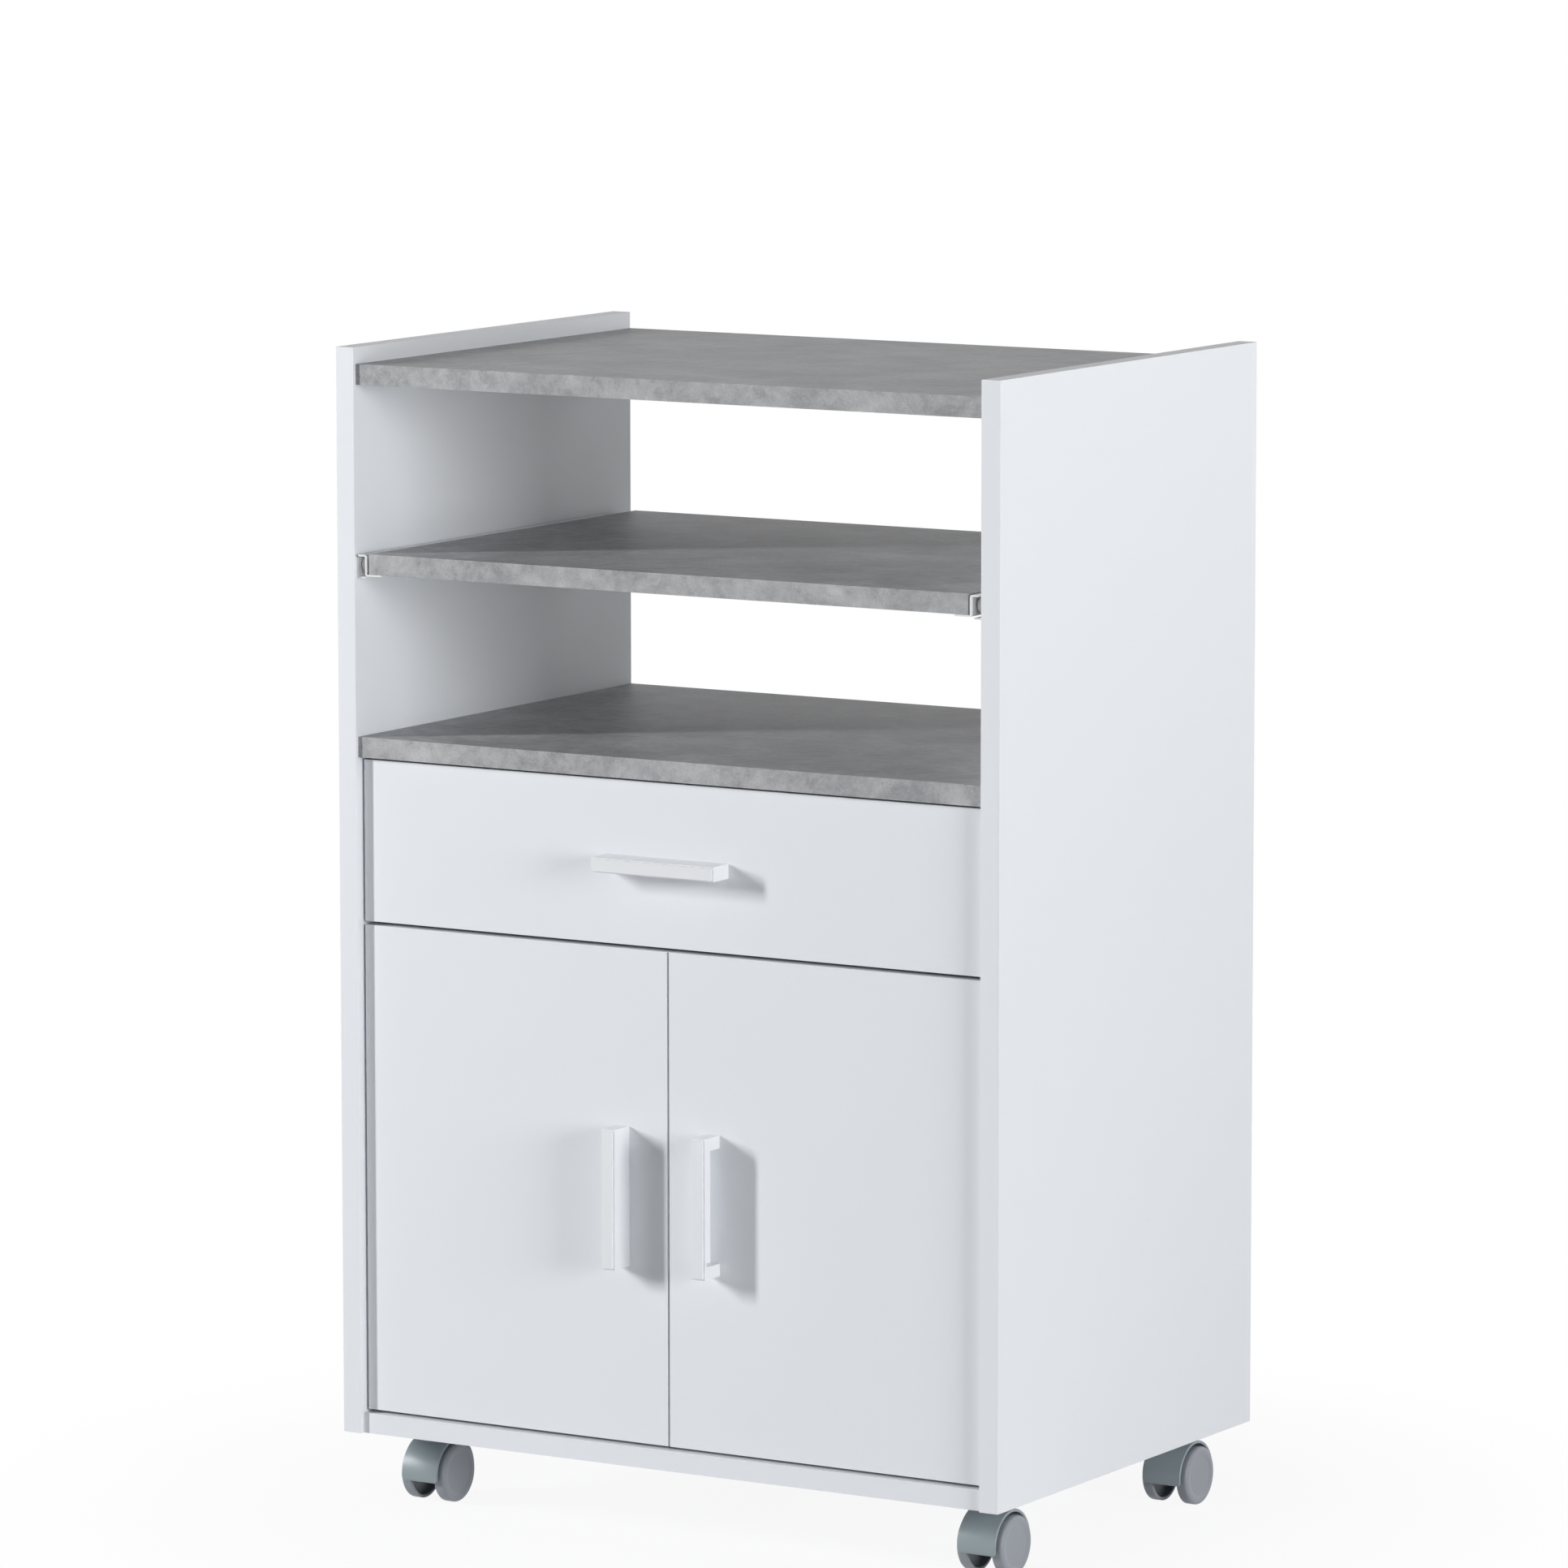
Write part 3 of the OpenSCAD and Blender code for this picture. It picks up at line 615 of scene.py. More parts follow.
WHITE_BOARD = CoatedBoard("coated_white_board", "white_board")
CONCRETE_BOARD = ConcreteBoard("concrete_decor_board", "concrete_board")
HANDLE_PAINT = Painted("white_handle_paint", "handle_metal")
RUNNER_PAINT = Painted("white_runner_paint", "white_steel", (240, 241, 242), 0.3, 900.0)
ZINC = Plated("zinc_plate", "steel")
HOOD_PLASTIC = Moulded("castor_hood_plastic", "castor_plastic", (145, 157, 162), 0.36)
WHEEL_PLASTIC = Moulded("castor_wheel_plastic", "castor_plastic", (148, 153, 160), 0.42)
ROLLER_PLASTIC = Moulded("roller_plastic", "roller_plastic", (226, 226, 221), 0.32)
DOWEL_BEECH = Beech("dowel_beech", "dowel_wood")


# --- The pieces' common bench ---


class Bench:
    """Hangs each new piece on its body and gives every part its finish."""

    def __init__(self, frame: Mapping[str, Any]) -> None:
        """Keeps the frame's nodes and works out which body each one is on."""
        self.nodes: Mapping[str, bpy.types.Object] = frame["nodes"]
        bodies = frame["record"]["behaviour"]["bodies"]
        self.bodies = {node: body for body, nodes in bodies.items() for node in nodes}
        self.materials: dict[str, bpy.types.Material] = {}

    def _coat(self, piece: bpy.types.Object, finish: Finish) -> None:
        """Gives an object one finish, built once for all that share it."""
        if finish.name not in self.materials:
            self.materials[finish.name] = finish.material()
        if len(piece.material_slots) == 0:
            piece.data.materials.append(None)
        for slot in piece.material_slots:
            slot.link = "OBJECT"
            slot.material = self.materials[finish.name]

    def dress(self, node: str, finish: Finish) -> None:
        """Gives a solid its finish and leaves its shape."""
        self._coat(self.nodes[node], finish)
        LOG.info("%s: %s", node, finish.name)

    def fit(self, name: str, mesh: bpy.types.Mesh, finish: Finish, replaced: str) -> bpy.types.Object:
        """Puts a piece in the place of a solid.

        Args:
            name: Name of the piece.
            mesh: Its mesh, in place in the cart's frame.
            finish: Its finish.
            replaced: The solid that it stands for, whose body it rides on.

        Returns:
            The piece.
        """
        piece = bpy.data.objects.new(name, mesh)
        bpy.context.scene.collection.objects.link(piece)
        self._coat(piece, finish)
        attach(piece, self.bodies[replaced])
        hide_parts(replaced)
        LOG.info("%s for %s: %s, %d faces", name, replaced, finish.name, len(mesh.polygons))
        return piece

    def soften(self, node: str, finish: Finish, radius: float, segments: int = 3) -> bpy.types.Object:
        """Replaces a solid with a copy that has rounded edges.

        Args:
            node: The solid.
            finish: Its finish.
            radius: How far the rounding reaches from each edge.
            segments: Number of chords in the rounding.

        Returns:
            The softened piece.
        """
        mesh = self.nodes[node].data.copy()
        mesh.name = f"{node}_softened"
        mesh.materials.clear()
        cut = bmesh.new()
        cut.from_mesh(mesh)
        bmesh.ops.remove_doubles(cut, verts=cut.verts, dist=MERGE)
        bmesh.ops.dissolve_limit(cut, angle_limit=FLAT, verts=cut.verts, edges=cut.edges)
        cut.to_mesh(mesh)
        cut.free()
        mesh.shade_smooth()
        mesh.set_sharp_from_angle(angle=CREASE)
        piece = self.fit(mesh.name, mesh, finish, node)
        bevel = piece.modifiers.new("rounded_edges", "BEVEL")
        bevel.limit_method = "ANGLE"
        bevel.angle_limit = CREASE
        bevel.width = radius
        bevel.segments = segments
        bevel.harden_normals = True
        return piece

    def solids(self, node: str) -> list[tuple[np.ndarray, np.ndarray]]:
        """Lowest and highest corner of each separate solid in a node.

        Points at the same place count as one, and each face gives its points the lowest label among them
        until no label changes.
        """
        mesh = self.nodes[node].data
        points = np.empty(len(mesh.vertices) * 3, np.float32)
        mesh.vertices.foreach_get("co", points)
        points = points.reshape(-1, 3)
        corners = np.empty(len(mesh.loops), np.int32)
        mesh.loops.foreach_get("vertex_index", corners)
        places, same = np.unique(np.round(points / MERGE), axis=0, return_inverse=True)
        faces = same.reshape(-1)[corners].reshape(-1, 3)
        label = np.arange(len(places))
        lowest = label[faces].min(axis=1)
        while not (label[faces] == lowest[:, None]).all():
            np.minimum.at(label, faces.ravel(), np.repeat(lowest, 3))
            lowest = label[faces].min(axis=1)
        whole = places * MERGE
        return [(whole[label == k].min(0), whole[label == k].max(0)) for k in np.unique(label)]


# --- Turned fittings ---


@dataclass(frozen=True)
class Screw:
    """A pan-head screw with a cross recess, along +Z with the head's top at z = 0."""

    head_radius: float
    head_height: float
    shank_radius: float
    length: float
    recess_width: float = 1.1 * MM
    recess_reach: float = 0.62
    recess_depth: float = 0.55

    def shape(self) -> Shape:
        """The screw as one grid of rings.

        A ring of radius r on the head is at z = -h (r / R)^4 / 3, less the recess: a cross whose bars are
        where the smaller of |x| and |y| is under half the bar's width, out to the recess's reach.
        """
        head, height, shank = self.head_radius, self.head_height, self.shank_radius
        rings = np.linspace(0, 1, 17)
        dome = -height * rings**4 / 3
        below = np.array([height, height, self.length - 2 * shank, self.length])
        radii = np.concatenate([rings * head, [head, shank, shank, 0.0]])
        angle = once_round(48)
        x = radii * np.cos(angle)
        y = radii * np.sin(angle)
        within = self.recess_width / 2 - np.minimum(abs(x), abs(y))
        bar = np.clip(within / (0.25 * self.recess_width) + 0.5, 0, 1)
        reach = self.recess_reach * head
        inside = np.clip((reach - radii) / (0.2 * reach), 0, 1)
        z = np.concatenate([dome, -below]) - self.recess_depth * height * bar * inside
        return Shape.from_grid(np.stack([x, y, z], axis=-1), ring_rows=True, ring_columns=False)


@dataclass(frozen=True)
class ScrewSet:
    """All the screws of one node, with their heads towards one direction on each side of the cart."""

    node: str
    head_height: float
    heads: Triple
    mirrored: bool = False
    head_radius: float = 3.2 * MM
    shank_radius: float = 1.75 * MM

    def build(self, bench: Bench) -> None:
        """Puts a shaped screw where each plain one is, as long as that one."""
        shapes = []
        axis = int(np.argmax(np.abs(self.heads)))
        for low, high in bench.solids(self.node):
            way = np.array(self.heads)
            if self.mirrored:
                way = way * -np.sign(low[0] + high[0])
            length = float(high[axis] - low[axis])
            screw = Screw(self.head_radius, self.head_height, self.shank_radius, length)
            top = (low + high) / 2
            top[axis] = high[axis] if way[axis] > 0 else low[axis]
            shapes.append(screw.shape().aimed(way).moved(top))
        bench.fit(f"{self.node}_shaped", mesh_of(self.node, shapes), ZINC, self.node)


@dataclass(frozen=True)
class RollerPair:
    """The two rollers of one node: a tread with rounded edges, a dished face and a hub round the pin."""

    node: str
    hub_radius: float = 3.6 * MM
    bore_radius: float = 2.05 * MM
    edge: float = 0.7 * MM
    dish: float = 0.5 * MM
    rim_width: float = 1.2 * MM
    slope: float = 0.3 * MM
    steps: int = 64

    def profile(self, radius: float, width: float) -> np.ndarray:
        """Outline of half the roller's section, as radius and height, closed round the bore."""
        half = width / 2
        face = half - self.dish
        rim = radius - self.rim_width
        upper = [
            (self.bore_radius, half, 0.1 * MM),
            (self.hub_radius, half, 0.25 * MM),
            (self.hub_radius + self.slope, face, 0.15 * MM),
            (rim - self.slope, face, 0.15 * MM),
            (rim, half, 0.2 * MM),
            (radius, half, self.edge),
        ]
        lower = [(across, -height, bend) for across, height, bend in reversed(upper)]
        return rounded_path(upper + lower, steps=4)

    def build(self, bench: Bench) -> None:
        """Turns both rollers, whose axis is the cart's X."""
        shapes = []
        for low, high in bench.solids(self.node):
            profile = self.profile(float(high[2] - low[2]) / 2, float(high[0] - low[0]))
            angle = once_round(self.steps)
            radius = profile[None, :, 0]
            x = np.broadcast_to(profile[:, 1], (self.steps, len(profile)))
            points = np.stack([x, radius * np.cos(angle), radius * np.sin(angle)], axis=-1)
            ring = Shape.from_grid(points, ring_rows=True, ring_columns=True)
            shapes.append(ring.moved((low + high) / 2))
        bench.fit(f"{self.node}_turned", mesh_of(self.node, shapes), ROLLER_PLASTIC, self.node)


# --- Rolled runners ---


@dataclass(frozen=True)
class Runner:
    """A Z-shaped runner under the edge of a board or drawer side, rolled from sheet steel."""

    side: Side
    carried: str
    sheet: float = 1.3 * MM
    web_inset: float = 13 * MM
    bend: float = 1.9 * MM
    inner_bend: float = 0.6 * MM
    pin_radius: float = 2 * MM
    pin_edge: float = 0.3 * MM
    pin_reach: float = 3 * MM

    @property
    def node(self) -> str:
        """Name of the runner's solid."""
        return f"{self.side.word}_{self.carried}_runner"

    def outline(self, width: float, height: float) -> np.ndarray:
        """The rolled section: x runs from the side panel inwards and z up from the lowest face.

        Args:
            width: Reach of the section across the cart.
            height: Height of the section.

        Returns:
            The closed outline.
        """
        web = width - self.web_inset - self.sheet
        corners = [
            (0.0, height, 0.0),
            (web + self.sheet, height, self.bend),
            (web + self.sheet, self.sheet, self.inner_bend),
            (width, self.sheet, 0.0),
            (width, 0.0, 0.0),
            (web, 0.0, self.bend),
            (web, height - self.sheet, self.inner_bend),
            (0.0, height - self.sheet, 0.0),
        ]
        return rounded_path(corners, steps=6)

    def build(self, bench: Bench) -> None:
        """Draws the section along the runner and adds the rear roller's riveted pin."""
        low, high = (np.array(corner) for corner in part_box(self.node))
        rear = bench.solids(f"{self.carried}_rear_rollers")
        near = min(rear, key=lambda box: abs(box[0][0] - low[0]))
        outline = self.outline(float(high[0] - low[0]), float(high[2] - low[2]))
        body = drawn(outline, 0.0, float(high[1] - low[1]))
        if self.side is Side.LEFT:
            body = body.moved(low)
        else:
            body = body.scaled((-1, 1, 1)).moved((high[0], low[1], low[2]))
        length = float(near[1][0] - near[0][0]) + self.pin_reach
        pin = rod(self.pin_radius, (0.0, length), (self.pin_edge, 0.0))
        middle = (near[0] + near[1]) / 2
        outwards = self.side.value
        start = near[1][0] if outwards > 0 else near[0][0]
        pin = pin.aimed((-outwards, 0, 0)).moved((start, middle[1], middle[2]))
        bench.fit(f"{self.node}_rolled", mesh_of(self.node, [body, pin]), RUNNER_PAINT, self.node)


@dataclass(frozen=True)
class RailPair:
    """The two C-shaped rails of one slide on the side panels, each with a roller pin at its front."""

    slide: str
    sheet: float = 1.2 * MM
    bend: float = 1.8 * MM
    inner_bend: float = 0.6 * MM
    open_front: float = 25 * MM
    flange_margin: float = 0.6 * MM
    pin_radius: float = 2 * MM
    pin_inset: float = 0.3 * MM

    @property
    def node(self) -> str:
        """Name of the rails' solid."""
        return f"{self.slide}_rails"

    def section(self, reach: float, height: float, closed_top: bool) -> np.ndarray:
        """The rolled section: x runs from the side panel inwards and z up from the lowest face."""
        top = [
            (0.0, height, self.bend),
            (reach, height, 0.0),
            (reach, height - self.sheet, 0.0),
            (self.sheet, height - self.sheet, self.inner_bend),
        ]
        bare = [(0.0, height, 0.0), (self.sheet, height, 0.0)]
        foot = [
            (self.sheet, self.sheet, self.inner_bend),
            (reach, self.sheet, 0.0),
            (reach, 0.0, 0.0),
            (0.0, 0.0, self.bend),
        ]
        return rounded_path((top if closed_top else bare) + foot, steps=6)

    def build(self, bench: Bench) -> None:
        """Draws both rails: an L as far as the roller needs, then the full C."""
        rollers = bench.solids(f"{self.slide}_front_rollers")
        shapes = []
        for low, high in bench.solids(self.node):
            inwards = -int(np.sign(low[0] + high[0]))
            wall = low[0] if inwards > 0 else high[0]
            roller = min(rollers, key=lambda box: abs(box[0][0] - low[0]))
            reach = max(abs(float(face[0]) - float(wall)) for face in roller) + self.flange_margin
            height = float(high[2] - low[2])
            length = float(high[1] - low[1])
            front = drawn(self.section(reach, height, False), 0.0, self.open_front - 0.01 * MM)
            rest = drawn(self.section(reach, height, True), self.open_front, length)
            shapes += [part.scaled((inwards, 1, 1)).moved((wall, low[1], low[2])) for part in (front, rest)]
            shapes.append(self.pin(roller, inwards, float(wall)))
        bench.fit(f"{self.node}_rolled", mesh_of(self.node, shapes), RUNNER_PAINT, self.node)

    def pin(self, roller: tuple[np.ndarray, np.ndarray], inwards: int, wall: float) -> Shape:
        """The roller's pin, from inside the web to just past the roller, with a riveted end."""
        middle = (roller[0] + roller[1]) / 2
        face = roller[1][0] if inwards > 0 else roller[0][0]
        length = abs(float(face) - wall) - self.pin_inset
        shape = rod(self.pin_radius, (0.0, length), (0.0, 0.4 * MM), 0.2 * MM)
        return shape.aimed((inwards, 0, 0)).moved((wall + inwards * self.pin_inset, middle[1], middle[2]))


# --- Castors ---


@dataclass(frozen=True)
class Castor:
    """A twin-wheel castor: a drum-shaped hood with a middle web, and two cup-shaped wheels."""

    side: Side
    end: End
    hood_radius: float = 27.4 * MM
    hood_width: float = 33 * MM
    hood_wall: float = 2.4 * MM
    hood_drop: float = 4.8 * MM
    corner: float = 3 * MM
    rim: float = 0.8 * MM
    web_width: float = 8 * MM
    web_inset: float = 1.2 * MM
    column_inset: float = 1.4 * MM
    axle_boss: float = 5 * MM
    boss_radius: float = 7.5 * MM
    boss_foot: float = 6.6 * MM
    collar_radius: float = 9 * MM
    collar_foot: float = 18.4 * MM
    collar_head: float = 34.7 * MM
    trail: float = 8 * MM
    wheel_width: float = 9.3 * MM
    tread_edge: float = 2.4 * MM
    face_radius: float = 17 * MM
    face_sink: float = 0.7 * MM
    wheel_wall: float = 2.5 * MM
    wheel_floor: float = 3 * MM
    bore_end: float = 3.8 * MM
    hub_radius: float = 6 * MM
    hub_play: float = 0.4 * MM
    bore_radius: float = 2.55 * MM

    @property
    def name(self) -> str:
        """Where the castor is, as its solids' names begin."""
        return f"{self.end.value}_{self.side.word}"

    def _axle(self) -> np.ndarray:
        """Middle of the axle."""
        low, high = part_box(f"{self.name}_castor_axle")
        return (np.array(low) + np.array(high)) / 2

    def angles(self, share: np.ndarray) -> np.ndarray:
        """Angles round the axle for shares of the way from the hood's rear edge to its front edge.

        Both edges are at the drop h below the axle: the angle runs from -asin(h / r) to pi + asin(h / r).
        """
        low = math.asin(self.hood_drop / self.hood_radius)
        return -low + (math.pi + 2 * low) * share

    def hood_shell(self) -> Shape:
        """The drum's shell, round the axle.

        A section is a rounded rectangle in x and radius, carried round the axle from the rear edge to the
        front edge. At a distance d < c from either edge its half width is w - c + sqrt(c^2 - (c - d)^2),
        which rounds the shell's corners by c. At d < t its half wall is t sqrt(1 - (1 - d / t)^2), a round
        lip.
        """
        half_wall = self.hood_wall / 2
        middle = self.hood_radius - half_wall
        share = (1 - np.cos(np.linspace(0, math.pi, 97))) / 2
        angle = self.angles(share)[:, None]
        sweep = float(angle[-1, 0] - angle[0, 0])
        away = (np.minimum(share, 1 - share) * sweep * middle)[:, None]
        inset = self.corner - np.sqrt(self.corner**2 - np.clip(self.corner - away, 0, self.corner) ** 2)
        lip = np.sqrt(1 - np.clip(1 - away / half_wall, 0, 1) ** 2)
        half = self.hood_width / 2
        sides = [(-half, -half_wall), (half, -half_wall), (half, half_wall), (-half, half_wall)]
        section = rounded_path([(across, height, self.rim) for across, height in sides])
        x = section[:, 0] - np.sign(section[:, 0]) * inset
        radius = middle + section[:, 1] * lip
        return Shape.from_grid(np.stack([x, radius * np.cos(angle), radius * np.sin(angle)], axis=-1))

    def web(self) -> Shape:
        """The half disc between the wheels, just inside the shell."""
        radius = self.hood_radius - self.web_inset
        angle = self.angles(np.linspace(0, 1, 61))
        outline = np.stack([radius * np.cos(angle), radius * np.sin(angle)], axis=-1)
        half = self.web_width / 2
        return drawn(outline, -half, half).quarter_turned()

    def column(self, radius: float, foot: float, head: float, round_foot: bool) -> Shape:
        """A round column on the swivel axis that starts or ends on the drum.

        With y the distance from the axle, the drum's own height is d(y) = sqrt(max(0, r^2 - y^2)), for r
        just inside the shell. The collar's foot is at max(foot, d(y)), the boss's head at min(head, d(y)).

        Args:
            radius: Radius of the column.
            foot: Lowest height over the axle.
            head: Highest height over the axle.
            round_foot: Whether the foot follows the drum, as the collar's does, or else the head.

        Returns:
            The column, round the swivel axis, with the axle's middle as its origin.
        """
        angle = once_round(72)
        rings = np.array([0.0, radius - self.rim, radius, radius, radius - self.rim, 0.0])
        x = rings * np.cos(angle)
        y = rings * np.sin(angle) + self.trail
        drum = np.sqrt(np.clip((self.hood_radius - self.column_inset) ** 2 - y**2, 0, None))
        low = np.maximum(foot, drum) if round_foot else np.full_like(y, foot)
        high = np.full_like(y, head) if round_foot else np.minimum(head, drum)
        bevel = np.array([0.0, 0.0, self.rim, -self.rim, 0.0, 0.0])
        z = np.where(np.arange(6) < 3, low, high) + bevel
        return Shape.from_grid(np.stack([x, y, z], axis=-1), ring_rows=True, ring_columns=False)

    def hood(self) -> list[Shape]:
        """The hood's parts, with the axle's middle as their origin."""
        half = self.web_width / 2
        axle_boss = rod(self.axle_boss, (-half, half), (0.4 * MM, 0.4 * MM), steps=48).aimed((1, 0, 0))
        collar = self.column(self.collar_radius, self.collar_foot, self.collar_head, True)
        stem_boss = self.column(self.boss_radius, self.boss_foot, self.collar_foot, False)
        return [self.hood_shell(), self.web(), axle_boss, stem_boss, collar]

    def wheel_profile(self, outer: float) -> np.ndarray:
        """Half the wheel's section, from the axis at its outer face round to the axis inside its hub.

        Args:
            outer: Distance of the outer face from the castor's middle.

        Returns:
            Rows of radius and distance from the castor's middle.
        """
        radius = self._axle()[2]
        inner = outer - self.wheel_width
        floor = outer - self.wheel_floor
        hub_end = self.web_width / 2 + self.hub_play
        corners = [
            (0.0, outer - self.face_sink, 0.0),
            (self.face_radius - 1.5 * MM, outer - self.face_sink, 4 * MM),
            (self.face_radius + 1.5 * MM, outer, 3 * MM),
            (radius, outer, self.tread_edge),
            (radius, inner, 0.8 * MM),
            (radius - self.wheel_wall, inner, 0.5 * MM),
            (radius - self.wheel_wall, floor, 1.2 * MM),
            (self.hub_radius, floor, 0.8 * MM),
            (self.hub_radius, hub_end, 0.4 * MM),
            (self.bore_radius, hub_end, 0.2 * MM),
            (self.bore_radius, outer - self.bore_end, 0.0),
            (0.0, outer - self.bore_end, 0.0),
        ]
        return rounded_path(corners, steps=6, closed=False)

    def build(self, bench: Bench) -> None:
        """Builds the wheels, then finishes the hood and the axle."""
        axle = self._axle()
        for wheel in Wheel:
            node = f"{self.name}_{wheel.value}_wheel"
            low, high = (np.array(corner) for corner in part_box(node))
            outwards = 1 if (low[0] + high[0]) / 2 > axle[0] else -1
            outer = float(max(abs(high[0] - axle[0]), abs(low[0] - axle[0])))
            shape = turned(self.wheel_profile(outer), 96).aimed((outwards, 0, 0)).moved(axle)
            bench.fit(f"{node}_moulded", mesh_of(node, [shape]), WHEEL_PLASTIC, node)
        hood = f"{self.name}_castor_hood"
        shapes = [shape.moved(axle) for shape in self.hood()]
        bench.fit(f"{hood}_moulded", mesh_of(hood, shapes), HOOD_PLASTIC, hood)
        bench.dress(f"{self.name}_castor_axle", ZINC)


# --- Sub-assemblies ---


@dataclass(frozen=True)
class Carcass:
    """The side panels, the fixed boards, the back and the fittings that hold them together."""

    panel_edge: float = 2.0 * MM
    board_edge: float = 0.8 * MM

    def build(self, bench: Bench) -> None:
        """Softens the boards and dresses the fittings."""
        for side in Side:
            bench.soften(f"{side.word}_side_panel", WHITE_BOARD, self.panel_edge, 5)
        bench.soften("top_board", CONCRETE_BOARD, self.board_edge)
        bench.soften("fixed_shelf", CONCRETE_BOARD, self.board_edge)
        bench.soften("bottom_panel", WHITE_BOARD, self.board_edge)
        low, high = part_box("back_panel")
        back = Fibreboard("back_hardboard", "hardboard", (low[1] + high[1]) / 2, 1, True)
        bench.dress("back_panel", back)
        bench.soften("cam_locks", ZINC, 0.25 * MM, 2)
        bench.dress("cam_bolts", ZINC)
        bench.dress("dowels", DOWEL_BEECH)


@dataclass(frozen=True)
class Slide:
    """One pair of rails and runners, with their rollers and screws."""

    name: str

    def build(self, bench: Bench) -> None:
        """Builds the rails, runners, rollers and the screws of the runners."""
        RailPair(self.name).build(bench)
        for side in Side:
            Runner(side, self.name).build(bench)
        RollerPair(f"{self.name}_front_rollers").build(bench)
        RollerPair(f"{self.name}_rear_rollers").build(bench)
        ScrewSet(f"{self.name}_runner_screws", 1.6 * MM, (0, 0, -1)).build(bench)


@dataclass(frozen=True)
class PullOutShelf:
    """The board that slides out between the two open bays."""

    board_edge: float = 0.8 * MM

    def build(self, bench: Bench) -> None:
        """Softens the board and builds its slide."""
        bench.soften("pull_out_board", CONCRETE_BOARD, self.board_edge)
        Slide("shelf").build(bench)


@dataclass(frozen=True)
class Drawer:
    """The drawer: its front with the handle, the box behind it and its slide."""

    front_edge: float = 0.5 * MM
    box_edge: float = 0.5 * MM
    handle_edge: float = 0.45 * MM

    def build(self, bench: Bench) -> None:
        """Softens the boards and the handle, and dresses the rest."""
        bench.soften("drawer_front", WHITE_BOARD, self.front_edge)
        for node in ("left_drawer_side", "right_drawer_side", "drawer_back"):
            bench.soften(node, WHITE_BOARD, self.box_edge)
        low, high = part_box("drawer_bottom")
        bottom = Fibreboard("drawer_hardboard", "hardboard", (low[2] + high[2]) / 2, 2, False)
        bench.dress("drawer_bottom", bottom)
        bench.dress("drawer_dowels", DOWEL_BEECH)
        bench.soften("drawer_handle", HANDLE_PAINT, self.handle_edge)
        bench.soften("drawer_handle_screws", ZINC, 0.3 * MM, 2)
        Slide("drawer").build(bench)


@dataclass(frozen=True)
class Door:
    """A cupboard door with its handle and its hinge cups."""

    side: Side
    front_edge: float = 0.5 * MM
    handle_edge: float = 0.45 * MM
    cup_edge: float = 0.3 * MM

    def build(self, bench: Bench) -> None:
        """Softens the door, the handle and the cups."""
        word = self.side.word
        bench.soften(f"{word}_door", WHITE_BOARD, self.front_edge)
        bench.soften(f"{word}_door_handle", HANDLE_PAINT, self.handle_edge)
        bench.soften(f"{word}_door_handle_screws", ZINC, 0.3 * MM, 2)
        bench.soften(f"{word}_hinge_cups", ZINC, self.cup_edge, 2)


@dataclass(frozen=True)
class Fittings:
    """The hinge arms and plates, the castor plates, and the screws on the carcass."""

    edge: float = 0.3 * MM

    def build(self, bench: Bench) -> None:
        """Softens the pressed steel and builds the screws."""
        for node in ("hinge_arms", "hinge_plates", "castor_plates"):
            bench.soften(node, ZINC, self.edge, 2)
        ScrewSet("rail_screws", 1.3 * MM, (1, 0, 0), True).build(bench)
        ScrewSet("hinge_plate_screws", 1.6 * MM, (1, 0, 0), True).build(bench)
        ScrewSet("castor_plate_screws", 1.8 * MM, (0, 0, -1)).build(bench)


# --- Stage ---


@dataclass(frozen=True)
class Lamp:
    """An upright soft box that shines along a direction at a point of the cart."""

    name: str
    travel: Triple
    watts: float
    width: float
    height: float
    aim: Triple = (0.0, 0.0, 0.5)
    distance: float = 5.0

    def build(self) -> None:
        """Makes the lamp and turns it towards the cart."""
        light = bpy.data.lights.new(self.name, "AREA")
        light.shape = "RECTANGLE"
        light.size = self.width
        light.size_y = self.height
        light.energy = self.watts
        lamp = bpy.data.objects.new(self.name, light)
        way = Vector(self.travel).normalized()
        lamp.location = Vector(self.aim) - way * self.distance
        lamp.rotation_euler = way.to_track_quat("-Z", "Y").to_euler()
        bpy.context.scene.collection.objects.link(lamp)


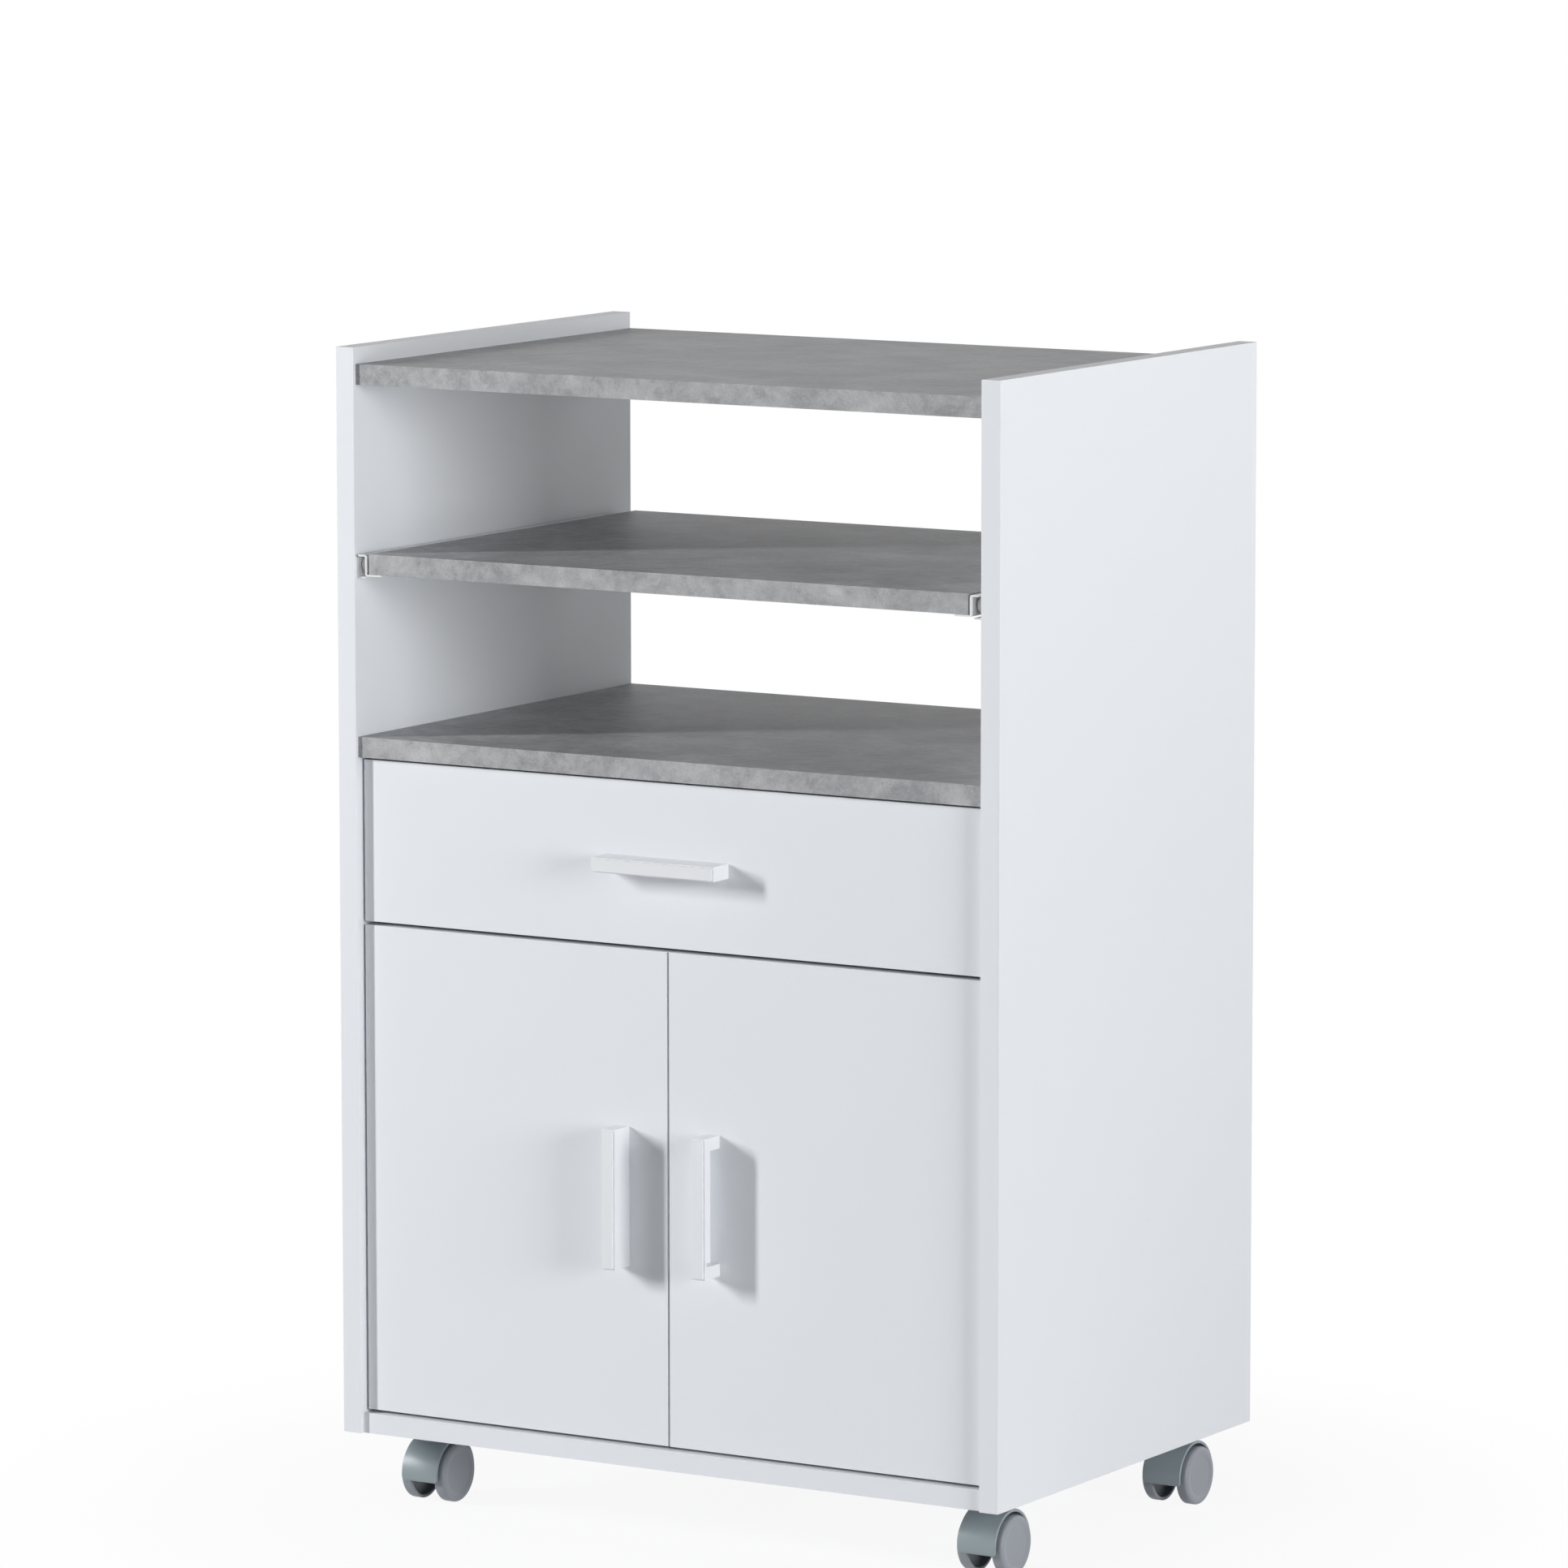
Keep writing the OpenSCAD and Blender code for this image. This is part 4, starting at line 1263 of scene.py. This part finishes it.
@dataclass(frozen=True)
class Studio:
    """A plain pale floor, soft light and a white surround."""

    floor_size: float = 60.0
    floor_colour: Triple = (236, 237, 239)
    shadow_share: float = 0.09
    shadow_reach: float = 0.75
    surround: float = 0.03
    surround_colour: Triple = (0.96, 0.98, 1.0)
    lamps: tuple[Lamp, ...] = (
        Lamp("key_lamp", (1.4, 1.0, -0.53), 194.0, 0.35, 1.45, (0.0, -0.19, 0.5)),
        Lamp("right_lamp", (-1.0, 0.3, -0.1), 140.0, 1.6, 1.6, (0.0, -0.1, 0.7)),
        Lamp("rear_lamp", (-0.6, -1.0, -0.3), 45.0, 3.0, 3.0),
    )

    def _seen(self, graph: Graph) -> Signal:
        """One where a ray comes from the camera, a mirror or a glass, and zero for the light itself."""
        kinds = ("Camera", "Glossy", "Transmission")
        camera, glossy, transmission = (
            graph.node("ShaderNodeLightPath", {}, {}, f"Is {kind} Ray") for kind in kinds
        )
        return graph.combine("MAXIMUM", graph.combine("MAXIMUM", camera, glossy), transmission)

    def _floor(self) -> None:
        """A floor that shows as white with a faint shadow near the cart, and lights it as a pale one."""
        half = self.floor_size / 2
        mesh = bpy.data.meshes.new("floor")
        square = [(-half, -half, 0), (half, -half, 0), (half, half, 0), (-half, half, 0)]
        mesh.from_pydata(square, [], [(0, 1, 2, 3)])
        floor = bpy.data.objects.new("floor", mesh)
        bpy.context.scene.collection.objects.link(floor)
        made = bpy.data.materials.new("pale_floor")
        made.use_nodes = True
        graph = Graph(made.node_tree)
        matte = graph.node("ShaderNodeBsdfDiffuse", {}, {"Color": srgb(*self.floor_colour)}, "BSDF")
        white = graph.node("ShaderNodeEmission", {}, {"Color": WHITE, "Strength": 1.0}, "Emission")
        away = graph.node("ShaderNodeVectorMath", {"operation": "LENGTH"}, {0: graph.place()}, "Value")
        near = away.band(0.3 * self.shadow_reach, self.shadow_reach, self.shadow_share, 0.0)
        share = self._seen(graph) * (1.0 - near)
        shader = graph.node("ShaderNodeMixShader", {}, {0: share, 1: matte, 2: white})
        graph.node("ShaderNodeOutputMaterial", {}, {"Surface": shader})
        mesh.materials.append(made)

    def _world(self) -> None:
        """A white surround for the camera and a dimmer one as light."""
        world = bpy.data.worlds.new("surround")
        bpy.context.scene.world = world
        world.use_nodes = True
        graph = Graph(world.node_tree)
        colour = (*self.surround_colour, 1.0)
        light = {"Color": colour, "Strength": self.surround}
        dim = graph.node("ShaderNodeBackground", {}, light, "Background")
        white = graph.node("ShaderNodeBackground", {}, {"Color": WHITE, "Strength": 1.0}, "Background")
        shader = graph.node("ShaderNodeMixShader", {}, {0: self._seen(graph), 1: dim, 2: white})
        graph.node("ShaderNodeOutputWorld", {}, {"Surface": shader})

    def build(self) -> None:
        """Builds the floor, the surround and the lamps."""
        self._floor()
        self._world()
        for lamp in self.lamps:
            lamp.build()
        bpy.context.scene.view_settings.view_transform = "Standard"


@dataclass(frozen=True)
class Viewpoint:
    """The photographer's place: a long lens a little above the cart, to its right."""

    lens: float = 200.66
    sensor: float = 36.0
    place: Triple = (3.4825, -5.7627, 1.4753)
    yaw: float = math.radians(31.202)
    pitch: float = math.radians(7.641)
    roll: float = math.radians(-0.047)

    def build(self) -> None:
        """Makes the camera, which looks along (-sin yaw cos pitch, cos yaw cos pitch, -sin pitch)."""
        lens = bpy.data.cameras.new("camera")
        lens.lens = self.lens
        lens.sensor_width = self.sensor
        lens.clip_end = 200.0
        camera = bpy.data.objects.new("camera", lens)
        upright = Matrix.Rotation(self.yaw, 4, "Z") @ Matrix.Rotation(math.pi / 2 - self.pitch, 4, "X")
        camera.matrix_world = Matrix.Translation(self.place) @ upright @ Matrix.Rotation(self.roll, 4, "Z")
        bpy.context.scene.collection.objects.link(camera)
        bpy.context.scene.camera = camera


def corners(box: Sequence[Vector]) -> list[list[float]]:
    """A box's two corners as plain lists."""
    return [[float(value) for value in corner] for corner in box]


def main() -> None:
    """Loads the solids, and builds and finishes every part."""
    logging.basicConfig(level=logging.INFO, format="%(name)s: %(message)s")
    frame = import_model()
    Viewpoint().build()
    Studio().build()
    bench = Bench(frame)
    parts = [Carcass(), PullOutShelf(), Drawer(), Fittings()]
    parts += [Door(side) for side in Side]
    parts += [Castor(side, end) for side in Side for end in End]
    for part in parts:
        part.build(bench)
        LOG.info("built %s", part)


if __name__ == "__main__":
    main()
